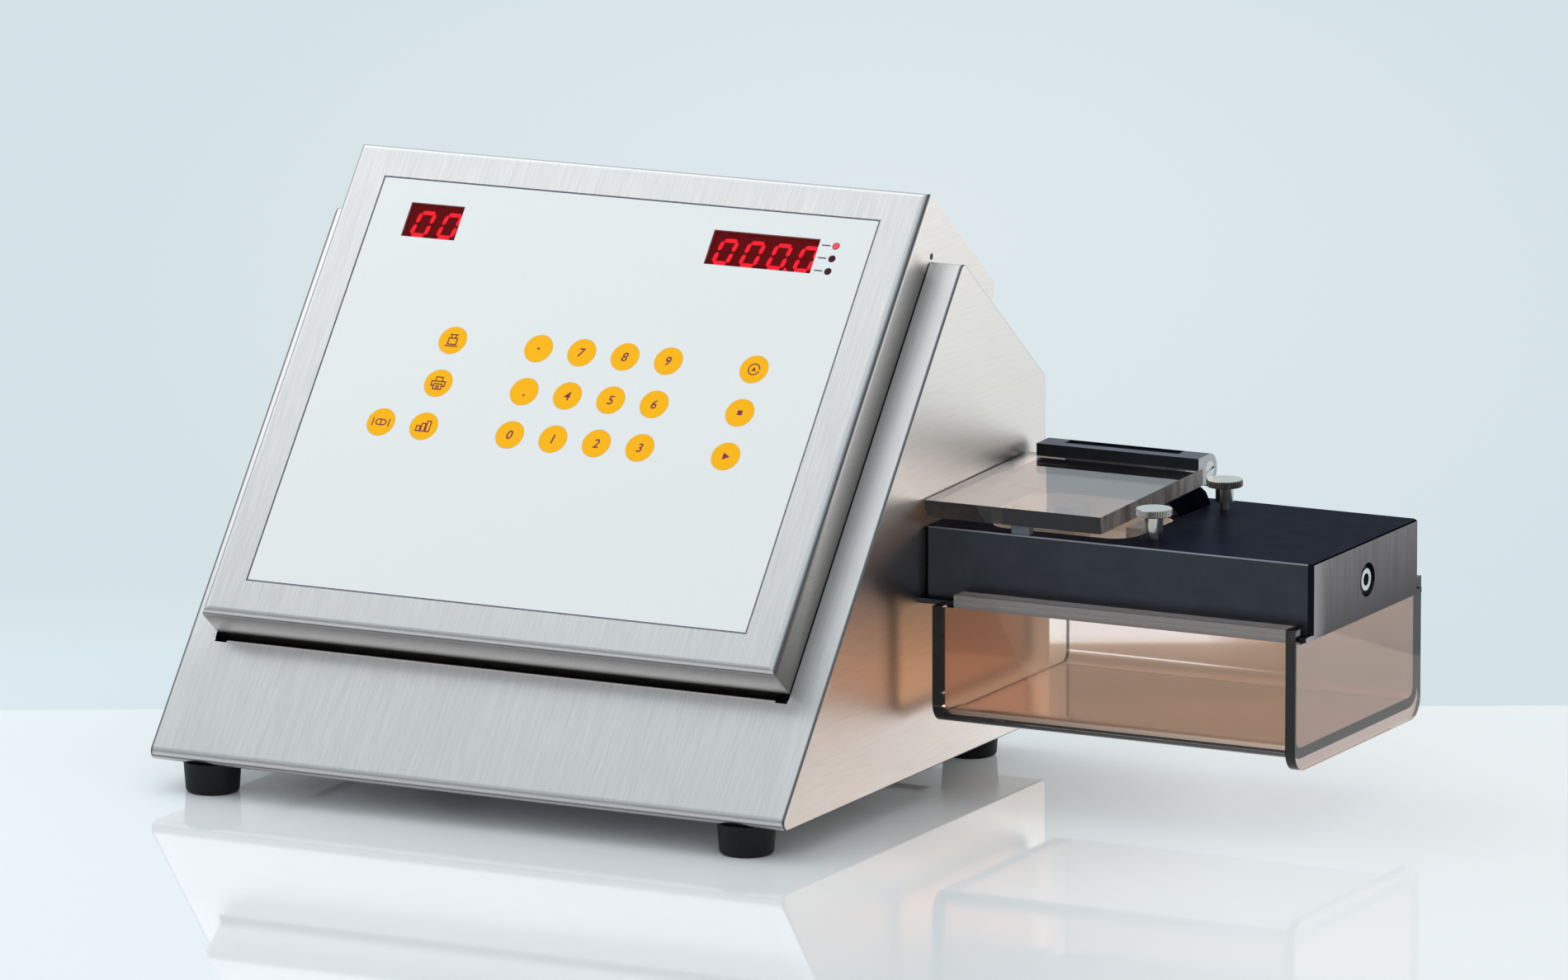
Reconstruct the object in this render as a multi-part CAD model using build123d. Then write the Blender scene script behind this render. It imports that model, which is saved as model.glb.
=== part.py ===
from build123d import *
from math import cos, pi, radians, sin
import os

# Tablet hardness tester. A motor inside the wedge housing pushes a jaw along X into the
# test chamber of the station on the right, where the tablet breaks against a fixed jaw.
# Lengths are in millimetres. X runs to the right, Y to the back and Z up from the floor.
# The model is drawn with X zero at mid housing and Y zero at the front bottom corner.

# Housing sheet
sheet = 1.5
housing_width = 330.0
housing_depth = 270.3
slope_angle = 51.44
slope_length = 296.3
bend_radius = 4.0
edge_round = 0.8
base_flange = 40.0
rear_flange = 14.0
plate_gap = 0.5
base_plate_front = 10.0

# Rubber feet
foot_height = 14.5
foot_top_radius = 13.5
foot_bottom_radius = 12.45
foot_round = 2.0
foot_inset_x = 25.7
foot_front_y = 17.3
foot_rear_inset = 27.7
foot_recess_depth = 6.0

# Case screws, which hold the feet and the rear panel
screw_radius = 2.0
screw_head_radius = 4.0
screw_head_height = 2.2
screw_hole_gap = 0.15
screw_reach = 3.0
rear_screw_inset = 7.0
rear_screw_rows = 3

# Control box, which sits in a notch across the ridge
box_left_margin = 14.25
box_right_margin = 17.05
box_low = 69.5
box_length = 250.7
box_proud = 20.6
box_depth = 88.8
box_front_bend = 3.5
box_rear_bend = 6.0
box_side_gap = 0.4
box_groove = 2.8
box_flange = 22.0
lip_bend = 2.0
lip_leg = 12.0
relief_width = 6.2
relief_height = 4.8

# Keypad overlay and what shows through it
overlay_high_margin = 17.1
overlay_left_margin = 18.3
overlay_right_margin = 19.9
overlay_low_margin = 18.4
overlay_thickness = 1.2
overlay_gap = 0.3
backing_margin = 3.0
window_height = 17.8
window_top_margin = 12.5
number_window_inset = 18.85
number_window_width = 28.1
hardness_window_inset = 26.85
hardness_window_width = 54.9
window_gap = 0.15
display_gap = 0.2
light_radius = 1.7
light_inset = 17.95
light_rise = 1.7
light_pitch = 6.65
light_count = 3
light_gap = 0.15

# Keys
key_radius = 7.1
key_gap = 0.1
key_travel = 0.4
key_proud = 0.05
key_free_play = 0.1
key_pitch = 22.65
key_row_pitch = 22.75
key_offset = 1.7
key_drop = 97.3
membrane_thickness = 1.0
membrane_margin = 4.0

# Display board behind the overlay
board_thickness = 1.6
board_standoff = 8.9
board_margin = 10.0
board_low_margin = 26.0
pillar_radius = 3.0

# Station block on the right wall
block_length = 196.2
block_rear_inset = 10.3
block_width = 115.9
block_bottom = 97.0
block_height = 33.0
block_upright_chamfer = 2.2
block_top_chamfer = 0.6

# Test chamber pocket and its tray
pocket_left_inset = 25.0
pocket_length = 72.7
pocket_front_inset = 11.6
pocket_width = 58.0
pocket_corner = 12.0
pocket_depth = 10.0
tray_wall = 1.0
tray_gap = 0.15
tray_drop = 0.5
chute_length = 22.0
chute_width = 14.0
chute_front_gap = 3.0
chute_corner = 3.0

# Jaws and push rod
jaw_width = 16.0
jaw_height = 10.0
jaw_length = 10.0
fixed_jaw_length = 8.0
jaw_floor_gap = 0.3
jaw_opening = 26.0
fixed_jaw_back_gap = 1.7
rod_radius = 3.0
rod_height = 4.5
rod_fit = 0.06
rod_hole_gap = 0.4
shank_radius = 2.5
shank_hole_gap = 0.3

# Load cell in its cavity in the block
cell_length = 56.0
cell_width = 25.0
cell_gap = 2.0
cell_roof = 0.5
cavity_roof = 2.5
cavity_wall = 7.3
cell_hole_radius = 7.0
cell_hole_pitch = 16.0
cell_slot = 2.0

# End bush in the station's right face
bush_recess_radius = 7.85
bush_recess_depth = 3.0
bush_radius = 5.15
bush_hole_radius = 2.9
bush_length = 14.5
bush_set_back = 0.7
bush_y_offset = 1.6
bush_z = 112.1

# Drawer ledge under the block
ledge_thickness = 2.3
ledge_proud = 4.65
ledge_end_inset = 0.7

# Station bolts
bolt_radius = 3.0
bolt_head_radius = 5.0
bolt_head_height = 6.0
bolt_gap = 0.1
bolt_front_inset = 27.9
bolt_middle_inset = 61.9
bolt_rear_inset = 10.0
bolt_low_rise = 7.0
bolt_high_rise = 26.0
bolt_reach = 14.0
bolt_hex_radius = 2.9
bolt_hex_depth = 3.0

# Flap, drawn flat about its hinge and then tilted
hinge_rear_inset = 1.8
hinge_rise = 13.6
flap_tilt = 1.75
flap_left_gap = 1.0
flap_width = 89.5
flap_reach = 115.2
flap_thickness = 8.0
flap_top_above_hinge = 2.2
flap_rebate = 0.5
flap_rebate_height = 3.2
barrel_radius = 7.6
bar_left_inset = 6.0
bar_front = 7.7
bar_plate_gap = 0.1
lip_reach = 4.2
knuckle_left_length = 11.5
knuckle_right_length = 13.2
bar_web = 1.3
bar_slot_wall = 4.0
bar_strip_front = 0.9
bar_strip_angle = 60.0
pin_radius = 2.5
pin_head_radius = 4.6
pin_head_height = 2.2
pin_head_gap = 0.1
pin_end_gap = 0.5
pin_slot_width = 0.9
pin_slot_depth = 0.8
pin_slot_angle = 8.0

# Hinge base and flap rest on the block top
base_front_inset = 0.5
base_flap_gap = 0.5
base_foot_rear = 13.0
base_rear_low = 7.7
base_rear_high = 9.4
base_end_overhang = 5.9
base_end_angle = 45.0
base_rear_rise = 4.6
knuckle_radius = 6.0
knuckle_turn_gap = 0.3
knuckle_side_gap = 0.5
pin_fit = 0.08
rest_width = 8.9
rest_depth = 4.4
rest_front_inset = 0.5
rest_centre = 47.7
rest_gap = 0.25

# Thumbscrews on the block top
thumb_head_radius = 8.5
thumb_head_height = 3.4
thumb_bevel = 0.4
thumb_teeth = 64
thumb_tooth_depth = 0.4
thumb_collar_radius = 4.2
thumb_collar_height = 7.2
thumb_neck_radius = 2.0
thumb_neck_height = 3.7
thumb_thread_reach = 8.5
thumb_hole_extra = 0.5
thumb_fit = 0.08
thumb_x = 107.0
thumb_spread = 37.4

# Drawer, which hangs on the ledge
drawer_half_width = 68.0
acrylic = 5.0
drawer_left_gap = 9.3
drawer_end_inset = 3.4
channel_bottom = 40.2
channel_top = 95.2
channel_corner = 9.5
end_panel_drop = 5.3
end_panel_corner = 10.0
rail_left_inset = 11.0
rail_top = 101.2
rail_running_gap = 0.2
rail_block_gap = 0.45
ledge_side_gap = 0.4
notch_drop = 0.9

# Jaw drive inside the housing
drive_offset = 27.3
drive_drop = 32.5
drive_length = 155.5
lead_radius = 5.0
journal_radius = 4.0
guide_radius = 4.0
guide_spread = 22.0
slide_fit = 0.06
plate_thickness = 6.0
plate_foot = 20.0
plate_foot_height = 4.0
motor_radius = 18.5
motor_length = 55.0
motor_bore_depth = 8.0
shaft_radius = 3.0
shaft_gap = 0.1
coupling_radius = 9.0
coupling_length = 22.0
coupling_gap = 4.0
carriage_start = 56.0
carriage_length = 20.0
carriage_boss_radius = 9.0
arm_top_radius = 6.0
wall_plate_front = 6.0
wall_plate_rear = 6.0
wall_plate_box_gap = 4.0
motor_plate_margin = 14.0

# Power supply, main board and mains inlet
supply_wall_gap = 23.5
supply_length = 90.0
supply_inlet_gap = 14.3
supply_width = 95.0
supply_height = 38.0
main_board_foot_gap = 2.0
main_board_wall_gap = 15.5
main_board_width = 111.3
main_board_rear_gap = 6.0
main_board_rise = 16.0
port_inset = 44.0
port_width = 31.0
port_height = 12.5
port_depth = 12.0
port_proud = 0.8
port_gap = 0.5
port_shell_width = 16.6
port_shell_height = 8.2
port_shell_corner = 2.4
port_shell_proud = 1.6
chip_size = 18.0
chip_height = 3.0
inlet_side_inset = 45.0
inlet_low = 34.0
inlet_width = 30.0
inlet_height = 50.0
inlet_body_width = 27.0
inlet_body_height = 47.0
inlet_body_depth = 22.0
inlet_flange = 2.5
inlet_corner = 2.0
socket_width = 24.4
socket_height = 17.0
socket_depth = 15.0
socket_rise = 3.5
blade_width = 2.0
blade_height = 4.0
blade_reach = 12.0
blade_pitch = 14.0
blade_drop = 2.0
rocker_width = 13.0
rocker_height = 18.4
rocker_rise = 36.0
rocker_side_gap = 0.3
rocker_end_gap = 1.0
rocker_well_depth = 11.0
rocker_back = 4.5
rocker_face_end = 3.0
rocker_face_middle = 1.6
rocker_set_back = 2.5
rocker_tilt = 8.0
rocker_pin_radius = 1.5
rocker_pin_reach = 1.2
rocker_pin_fit = 0.08

# Overrun past a face for cuts
over = 1.0

# Places that follow from the sizes
slope = radians(slope_angle)
panel_plane = Plane(origin=(0, 0, foot_height), x_dir=(1, 0, 0), z_dir=(0, -sin(slope), cos(slope)))
half_width = housing_width / 2
wall_inside = half_width - sheet
ridge_y = slope_length * cos(slope)
ridge_z = foot_height + slope_length * sin(slope)
back_top_z = ridge_z - (housing_depth - ridge_y) * cos(slope) / sin(slope)
floor_top = foot_height + 2 * sheet
panel_face_y = housing_depth - sheet
box_left = -half_width + box_left_margin
box_right = half_width - box_right_margin
box_high = box_low + box_length
box_sunk = box_depth - box_proud
overlay_left = box_left + overlay_left_margin
overlay_right = box_right - overlay_right_margin
overlay_low = box_low + overlay_low_margin
overlay_high = box_high - overlay_high_margin
window_low = overlay_high - window_top_margin - window_height
key_origin_x = (overlay_left + overlay_right) / 2 + key_offset
key_origin_s = window_low - key_drop
recess_floor = box_proud - overlay_thickness
recess_back = recess_floor - sheet
board_top = recess_back - board_standoff
block_end = half_width + block_length
block_rear = housing_depth - block_rear_inset
block_front = block_rear - block_width
block_top = block_bottom + block_height
block_middle = block_front + block_width / 2
pocket_left = half_width + pocket_left_inset
pocket_right = pocket_left + pocket_length
pocket_front = block_front + pocket_front_inset
pocket_rear = pocket_front + pocket_width
pocket_floor = block_top - pocket_depth
tray_floor = pocket_floor + tray_wall
jaw_y = (pocket_front + pocket_rear) / 2
rod_z = pocket_floor + rod_height
jaw_bottom = tray_floor + jaw_floor_gap
fixed_jaw_right = pocket_right - tray_wall - fixed_jaw_back_gap
fixed_jaw_left = fixed_jaw_right - fixed_jaw_length
jaw_face = fixed_jaw_left - jaw_opening
chute_left = fixed_jaw_left - (jaw_opening + chute_length) / 2
chute_front = pocket_front + chute_front_gap
cavity_left = pocket_right + cavity_wall
cavity_right = cavity_left + cell_length + cell_gap
cavity_half = cell_width / 2 + cell_gap
cell_left = cavity_left
ledge_front = block_front - ledge_proud
ledge_rear = block_rear + ledge_proud
ledge_bottom = block_bottom - ledge_thickness
hinge_y = block_rear - hinge_rear_inset
hinge_z = block_top + hinge_rise
flap_left = half_width + flap_left_gap
flap_right = flap_left + flap_width
flap_bottom_offset = flap_top_above_hinge - flap_thickness
bar_left = flap_left + bar_left_inset
knuckle_left = bar_left + knuckle_left_length
knuckle_right = flap_right - knuckle_right_length
drawer_left = half_width + drawer_left_gap
drawer_right = block_end - drawer_end_inset
end_panel_left = drawer_right - acrylic
drawer_front = block_middle - drawer_half_width
drawer_rear = block_middle + drawer_half_width
notch_half = (ledge_rear - ledge_front) / 2 + ledge_side_gap
wall_plate_x = wall_inside - plate_thickness
screw_axis_y = jaw_y + drive_offset
screw_axis_z = rod_z - drive_drop
motor_plate_x = wall_inside - drive_length
carriage_left = motor_plate_x + carriage_start
coupling_left = motor_plate_x + plate_thickness + coupling_gap
coupling_right = coupling_left + coupling_length
inlet_x = -half_width + inlet_side_inset
rear_inside = panel_face_y - sheet
supply_left = -wall_inside + supply_wall_gap
supply_rear = panel_face_y + inlet_flange - inlet_body_depth - supply_inlet_gap
main_board_left = motor_plate_x + plate_thickness + plate_foot + main_board_foot_gap
main_board_right = wall_plate_x - main_board_wall_gap
main_board_rear = rear_inside - main_board_rear_gap
main_board_front = main_board_rear - main_board_width
port_x = main_board_left + port_inset
rocker_y = panel_face_y + inlet_flange - rocker_set_back
rocker_z = inlet_low + rocker_rise
thumb_line = half_width + thumb_x

foot_places = [(side * (half_width - foot_inset_x), y) for side in (-1, 1)
               for y in (foot_front_y, housing_depth - foot_rear_inset)]
rear_rows = [foot_height + rear_screw_inset
             + row * (back_top_z - foot_height - 2 * rear_screw_inset) / (rear_screw_rows - 1)
             for row in range(rear_screw_rows)]
rear_screw_places = [(side * (half_width - rear_screw_inset), z) for side in (-1, 1) for z in rear_rows]
bolt_low = block_bottom + bolt_low_rise
bolt_high = block_bottom + bolt_high_rise
bolt_rear = block_rear - bolt_rear_inset
bolt_places = [(block_front + bolt_front_inset, bolt_low), (block_front + bolt_middle_inset, bolt_high),
               (bolt_rear, bolt_low), (bolt_rear, bolt_high)]
windows = [(overlay_left + number_window_inset, number_window_width),
           (overlay_right - hardness_window_inset - hardness_window_width, hardness_window_width)]
light_places = [(overlay_right - light_inset, window_low + light_rise + step * light_pitch)
                for step in range(light_count)]

# Keys: name, column and row in pitches
key_layout_shares = {
    "key_tablet": (-4, 0), "key_chart": (-3, 0), "key_printer": (-3, 1), "key_weight": (-3, 2),
    "key_0": (-1, 0), "key_point": (-1, 1), "key_dot": (-1, 2),
    "key_1": (0, 0), "key_4": (0, 1), "key_7": (0, 2),
    "key_2": (1, 0), "key_5": (1, 1), "key_8": (1, 2),
    "key_3": (2, 0), "key_6": (2, 1), "key_9": (2, 2),
    "key_start": (3.96, 0), "key_stop": (3.96, 1), "key_reset": (3.96, 2),
}
key_places = {name: (key_origin_x + column * key_pitch, key_origin_s + row * key_row_pitch)
              for name, (column, row) in key_layout_shares.items()}


# Shapes shared by the pieces
def block(x0, x1, y0, y1, z0, z1):
    return Pos((x0 + x1) / 2, (y0 + y1) / 2, (z0 + z1) / 2) * Box(x1 - x0, y1 - y0, z1 - z0)


def panel_block(x0, x1, s0, s1, n0, n1):
    return panel_plane * block(x0, x1, s0, s1, n0, n1)


def panel_disc(x, s, radius, n0, n1):
    return panel_plane * upright(x, s, radius, n0, n1)


def upright(x, y, radius, z0, z1):
    return Pos(x, y, (z0 + z1) / 2) * Cylinder(radius, z1 - z0)


def along_x(y, z, radius, x0, x1):
    return Pos((x0 + x1) / 2, y, z) * Rot(0, 90, 0) * Cylinder(radius, x1 - x0)


def along_y(x, z, radius, y0, y1):
    return Pos(x, (y0 + y1) / 2, z) * Rot(90, 0, 0) * Cylinder(radius, y1 - y0)


def side_profile(points, x0, x1):
    face = make_face(Polyline(*points, close=True))
    return extrude(Plane.YZ.offset(x0) * face, x1 - x0)


def rounded_well(x0, x1, y0, y1, z0, z1, radius):
    outline = Pos((x0 + x1) / 2, (y0 + y1) / 2, z0) * RectangleRounded(x1 - x0, y1 - y0, radius)
    return extrude(outline, z1 - z0)


def cut_all(body, tools):
    for tool in tools:
        body -= tool
    return body


def fuse_all(tools):
    body = tools[0]
    for tool in tools[1:]:
        body += tool
    return body


# Housing: bent wedge, open below and behind inside a flange
def housing_wedge(inset):
    corners = [(0, foot_height), (ridge_y, ridge_z),
               (housing_depth, back_top_z), (housing_depth, foot_height)]
    face = make_face(Polyline(*corners, close=True))
    face = fillet(face.vertices(), bend_radius)
    if inset:
        face = offset(face, amount=-inset)
    return extrude(Plane.YZ.offset(-half_width + inset) * face, housing_width - 2 * inset)


def notch_lip():
    edge = box_low - box_groove
    start = edge - 2 * lip_bend
    outline = Polyline((start, 0), (edge, 0), (edge, -lip_leg), (edge - sheet, -lip_leg),
                       (edge - sheet, -sheet), (start, -sheet), close=True)
    face = make_face(outline)
    outer = face.vertices().sort_by(Axis.Y)[-2:].sort_by(Axis.X)[-1]
    face = fillet(outer, lip_bend)
    x0 = box_left + relief_width
    x1 = box_right - relief_width
    return panel_plane * extrude(Plane.YZ.offset(x0) * face, x1 - x0)


def make_housing_shell():
    shell = housing_wedge(0)
    shell = fillet(shell.edges().filter_by(Axis.X, reverse=True).filter_by(GeomType.LINE), edge_round)
    shell -= housing_wedge(sheet)
    opening_half = half_width - base_flange
    shell -= block(-opening_half, opening_half, base_flange, housing_depth - base_flange,
                   foot_height - over, foot_height + sheet + over)
    window_half = half_width - rear_flange
    shell -= block(-window_half, window_half, housing_depth - sheet - over, housing_depth + over,
                   foot_height + rear_flange, back_top_z - rear_flange)
    shell -= panel_block(box_left - box_side_gap, box_right + box_side_gap, box_low - box_groove,
                         slope_length + box_depth, -box_sunk - box_side_gap, box_depth)
    lip_start = box_low - box_groove - 2 * lip_bend
    shell -= panel_block(box_left, box_right, lip_start, box_low, -sheet - over, over)
    side_pieces = [panel_block(x0, x1, lip_start, box_low - relief_height, -sheet, 0)
                   for x0, x1 in ((box_left, box_left + relief_width),
                                  (box_right - relief_width, box_right))]
    shell = fuse_all([shell, notch_lip()] + side_pieces)
    tools = [along_x(jaw_y, rod_z, rod_radius + rod_hole_gap, wall_inside - over, half_width + over)]
    tools += [along_x(y, z, bolt_radius + bolt_gap, wall_inside - over, half_width + over)
              for y, z in bolt_places]
    tools += [upright(x, y, screw_radius + screw_hole_gap, foot_height - over, foot_height + sheet + over)
              for x, y in foot_places]
    tools += [along_y(x, z, screw_radius + screw_hole_gap, panel_face_y - over, housing_depth + over)
              for x, z in rear_screw_places]
    return cut_all(shell, tools)


def make_base_plate():
    half = wall_inside - plate_gap
    rear = housing_depth - bend_radius - plate_gap
    plate = block(-half, half, base_plate_front, rear, foot_height + sheet, floor_top)
    return cut_all(plate, [upright(x, y, screw_radius + screw_hole_gap, foot_height, floor_top + over)
                           for x, y in foot_places])


def make_rear_panel():
    half = wall_inside - plate_gap
    panel = block(-half, half, rear_inside, panel_face_y,
                  foot_height + bend_radius + plate_gap, back_top_z - rear_flange / 2)
    tools = [along_y(x, z, screw_radius + screw_hole_gap, panel_face_y - sheet - over, panel_face_y + over)
             for x, z in rear_screw_places]
    port_low = floor_top + main_board_rise + board_thickness
    tools.append(block(port_x - port_width / 2 - port_gap, port_x + port_width / 2 + port_gap,
                       panel_face_y - sheet - over, panel_face_y + over,
                       port_low - port_gap, port_low + port_height + port_gap))
    middle = inlet_low + inlet_height / 2
    tools.append(block(inlet_x - inlet_body_width / 2 - port_gap, inlet_x + inlet_body_width / 2 + port_gap,
                       panel_face_y - sheet - over, panel_face_y + over,
                       middle - inlet_body_height / 2 - port_gap, middle + inlet_body_height / 2 + port_gap))
    return cut_all(panel, tools)


def make_feet():
    recess = screw_head_radius + plate_gap
    feet = []
    for x, y in foot_places:
        profile = make_face(Polyline((0, 0), (foot_bottom_radius, 0), (foot_top_radius, foot_height),
                                     (0, foot_height), close=True))
        corner = profile.vertices().sort_by(Axis.Y)[:2].sort_by(Axis.X)[-1]
        profile = fillet(corner, foot_round)
        foot = revolve(Plane.XZ * profile, Axis.Z)
        foot -= upright(0, 0, recess, -over, foot_recess_depth)
        foot -= upright(0, 0, screw_radius + screw_hole_gap, 0, foot_height + over)
        feet.append(Pos(x, y, 0) * foot)
    return feet


def make_case_screws():
    screws = []
    for x, y in foot_places:
        head = upright(x, y, screw_head_radius, foot_recess_depth - screw_head_height, foot_recess_depth)
        shank = upright(x, y, screw_radius, foot_recess_depth, floor_top + screw_reach)
        screws.append(head + shank)
    for x, z in rear_screw_places:
        head = along_y(x, z, screw_head_radius, housing_depth, housing_depth + screw_head_height)
        shank = along_y(x, z, screw_radius, panel_face_y - sheet - screw_reach, housing_depth)
        screws.append(head + shank)
    return screws


# Control box: folded shell with a pressed recess for the overlay
def box_body(inset):
    body = panel_block(box_left + inset, box_right - inset, box_low + inset, box_high - inset,
                       -box_sunk + inset, box_proud - inset)
    outward = Axis((0, 0, 0), (0, -sin(slope), cos(slope)))
    front = body.faces().sort_by(outward)[-1].edges()
    body = fillet(front, box_front_bend - inset)
    rear = body.faces().sort_by(outward)[0].edges().filter_by(Axis.X)
    return fillet(rear, box_rear_bend - inset)


def panel_openings(extra, low, high):
    tools = [panel_disc(x, s, key_radius + key_gap + extra, low, high) for x, s in key_places.values()]
    tools += [panel_disc(x, s, light_radius + light_gap + extra, low, high) for x, s in light_places]
    tools += [panel_block(x - window_gap - extra, x + width + window_gap + extra,
                          window_low - window_gap - extra, window_low + window_height + window_gap + extra,
                          low, high) for x, width in windows]
    return tools


def make_control_box_shell():
    shell = box_body(0) - box_body(sheet)
    shell -= panel_block(box_left + box_flange, box_right - box_flange, box_low + box_flange,
                         box_high - box_flange, -box_sunk - over, -box_sunk + sheet + over)
    wide = overlay_gap + backing_margin
    shell += panel_block(overlay_left - wide, overlay_right + wide, overlay_low - wide,
                         overlay_high + wide, recess_back, box_proud - sheet)
    shell -= panel_block(overlay_left - overlay_gap, overlay_right + overlay_gap, overlay_low - overlay_gap,
                         overlay_high + overlay_gap, recess_floor, box_proud + over)
    return cut_all(shell, panel_openings(0, recess_back - over, box_proud))


def make_control_box_cover():
    inset = sheet + plate_gap
    low = box_low + box_rear_bend + plate_gap
    high = box_high - box_rear_bend - plate_gap
    return panel_block(box_left + inset, box_right - inset, low, high, -box_sunk + sheet, -box_sunk + 2 * sheet)


def make_keypad_overlay():
    plate = panel_block(overlay_left, overlay_right, overlay_low, overlay_high, recess_floor, box_proud)
    return cut_all(plate, panel_openings(0, recess_floor - over, box_proud + over))


def make_display_windows():
    return [panel_block(x, x + width, window_low, window_low + window_height, recess_floor, box_proud)
            for x, width in windows]


def make_unit_lights():
    return [panel_disc(x, s, light_radius, board_top, box_proud) for x, s in light_places]


def make_display_board():
    low = window_low - board_low_margin
    high = overlay_high - overlay_gap
    left = overlay_left + board_margin
    right = overlay_right - board_margin
    pieces = [panel_block(left, right, low, high, board_top - board_thickness, board_top)]
    pieces += [panel_block(x, x + width, window_low, window_low + window_height,
                           board_top, recess_floor - display_gap) for x, width in windows]
    pieces += [panel_disc(x, s, pillar_radius, board_top, recess_back)
               for x in (left + pillar_radius, right - pillar_radius)
               for s in (low + pillar_radius, high - pillar_radius)]
    return fuse_all(pieces)


def make_keypad_membrane():
    places = list(key_places.values())
    wide = key_radius + membrane_margin
    left = min(x for x, s in places) - wide
    right = max(x for x, s in places) + wide
    low = min(s for x, s in places) - wide
    high = max(s for x, s in places) + wide
    return panel_block(left, right, low, high, recess_back - membrane_thickness, recess_back)


def make_key(x, s):
    return panel_disc(x, s, key_radius, recess_back + key_travel + key_free_play, box_proud + key_proud)


# Station block: milled bar with the chamber pocket, chute and load cell cavity
def chute(z0, z1):
    return rounded_well(chute_left, chute_left + chute_length, chute_front, chute_front + chute_width,
                        z0, z1, chute_corner)


def make_station_block():
    body = block(half_width, block_end, block_front, block_rear, block_bottom, block_top)
    body = chamfer(body.edges().filter_by(Axis.Z), block_upright_chamfer)
    body = chamfer(body.faces().sort_by(Axis.Z)[-1].edges(), block_top_chamfer)
    body -= rounded_well(pocket_left, pocket_right, pocket_front, pocket_rear,
                         pocket_floor, block_top + over, pocket_corner)
    tools = [chute(block_bottom - over, pocket_floor + over)]
    tools.append(block(cavity_left, cavity_right, jaw_y - cavity_half, jaw_y + cavity_half,
                       block_bottom - over, block_top - cavity_roof))
    tools.append(along_x(jaw_y, rod_z, rod_radius + rod_fit, half_width - over, pocket_left + over))
    tools.append(along_x(jaw_y, rod_z, shank_radius + shank_hole_gap, pocket_right - over, cavity_left + over))
    bush_y = block_middle + bush_y_offset
    bush_left = block_end - bush_set_back - bush_length
    tools.append(along_x(bush_y, bush_z, bush_recess_radius, block_end - bush_recess_depth, block_end + over))
    tools.append(along_x(bush_y, bush_z, bush_radius, bush_left, block_end))
    tools += [along_x(y, z, bolt_radius + bolt_gap, half_width - over, half_width + bolt_reach + bolt_gap)
              for y, z in bolt_places]
    hole_bottom = block_top - thumb_thread_reach - thumb_hole_extra
    tools += [upright(thumb_line, block_middle + side * thumb_spread, thumb_neck_radius + thumb_fit,
                      hole_bottom, block_top + over) for side in (-1, 1)]
    return cut_all(body, tools)


def make_drawer_ledge():
    plate = block(half_width, block_end - ledge_end_inset, ledge_front, ledge_rear, ledge_bottom, block_bottom)
    return plate - chute(ledge_bottom - over, block_bottom + over)


def make_chamber_tray():
    top = block_top - tray_drop
    tray = rounded_well(pocket_left + tray_gap, pocket_right - tray_gap, pocket_front + tray_gap,
                        pocket_rear - tray_gap, pocket_floor, top, pocket_corner - tray_gap)
    inner = tray_gap + tray_wall
    tray -= rounded_well(pocket_left + inner, pocket_right - inner, pocket_front + inner,
                         pocket_rear - inner, tray_floor, top + over, pocket_corner - inner)
    tray -= chute(pocket_floor - over, tray_floor + over)
    tray -= along_x(jaw_y, rod_z, rod_radius + rod_hole_gap, pocket_left, pocket_left + pocket_corner)
    return tray - along_x(jaw_y, rod_z, shank_radius + shank_hole_gap, pocket_right - pocket_corner, pocket_right)


def jaw_head(x0, x1):
    return block(x0, x1, jaw_y - jaw_width / 2, jaw_y + jaw_width / 2, jaw_bottom, jaw_bottom + jaw_height)


def make_fixed_jaw():
    return jaw_head(fixed_jaw_left, fixed_jaw_right) + along_x(jaw_y, rod_z, shank_radius,
                                                               fixed_jaw_right, cell_left)


def make_moving_jaw():
    return jaw_head(jaw_face - jaw_length, jaw_face) + along_x(jaw_y, rod_z, rod_radius,
                                                               carriage_left, jaw_face - jaw_length)


def make_load_cell():
    top = block_top - cavity_roof - cell_roof
    cell = block(cell_left, cell_left + cell_length, jaw_y - cell_width / 2, jaw_y + cell_width / 2,
                 block_bottom, top)
    middle_x = cell_left + cell_length / 2
    middle_z = (block_bottom + top) / 2
    for side in (-1, 1):
        cell -= along_y(middle_x + side * cell_hole_pitch / 2, middle_z, cell_hole_radius,
                        jaw_y - cell_width, jaw_y + cell_width)
    return cell - block(middle_x - cell_hole_pitch / 2, middle_x + cell_hole_pitch / 2, jaw_y - cell_width,
                        jaw_y + cell_width, middle_z - cell_slot, middle_z + cell_slot)


def make_end_bush():
    bush_y = block_middle + bush_y_offset
    right = block_end - bush_set_back
    bush = along_x(bush_y, bush_z, bush_radius, right - bush_length, right)
    return bush - along_x(bush_y, bush_z, bush_hole_radius, right - bush_length - over, right + over)


def make_station_bolts():
    bolts = []
    for y, z in bolt_places:
        head = along_x(y, z, bolt_head_radius, wall_plate_x - bolt_head_height, wall_plate_x)
        socket = Pos(wall_plate_x - bolt_head_height, y, z) * Rot(0, 90, 0) * extrude(
            RegularPolygon(bolt_hex_radius, 6), bolt_hex_depth)
        shank = along_x(y, z, bolt_radius, wall_plate_x, half_width + bolt_reach)
        bolts.append(head - socket + shank)
    return bolts


# Flap: plate, bar and pin, drawn flat about the hinge axis
def flap_place(shape):
    return Pos(0, hinge_y, hinge_z) * Rot(flap_tilt, 0, 0) * shape


def flap_under(y):
    a = radians(flap_tilt)
    return hinge_z + (y - hinge_y) * sin(a) / cos(a) + flap_bottom_offset / cos(a)


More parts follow.
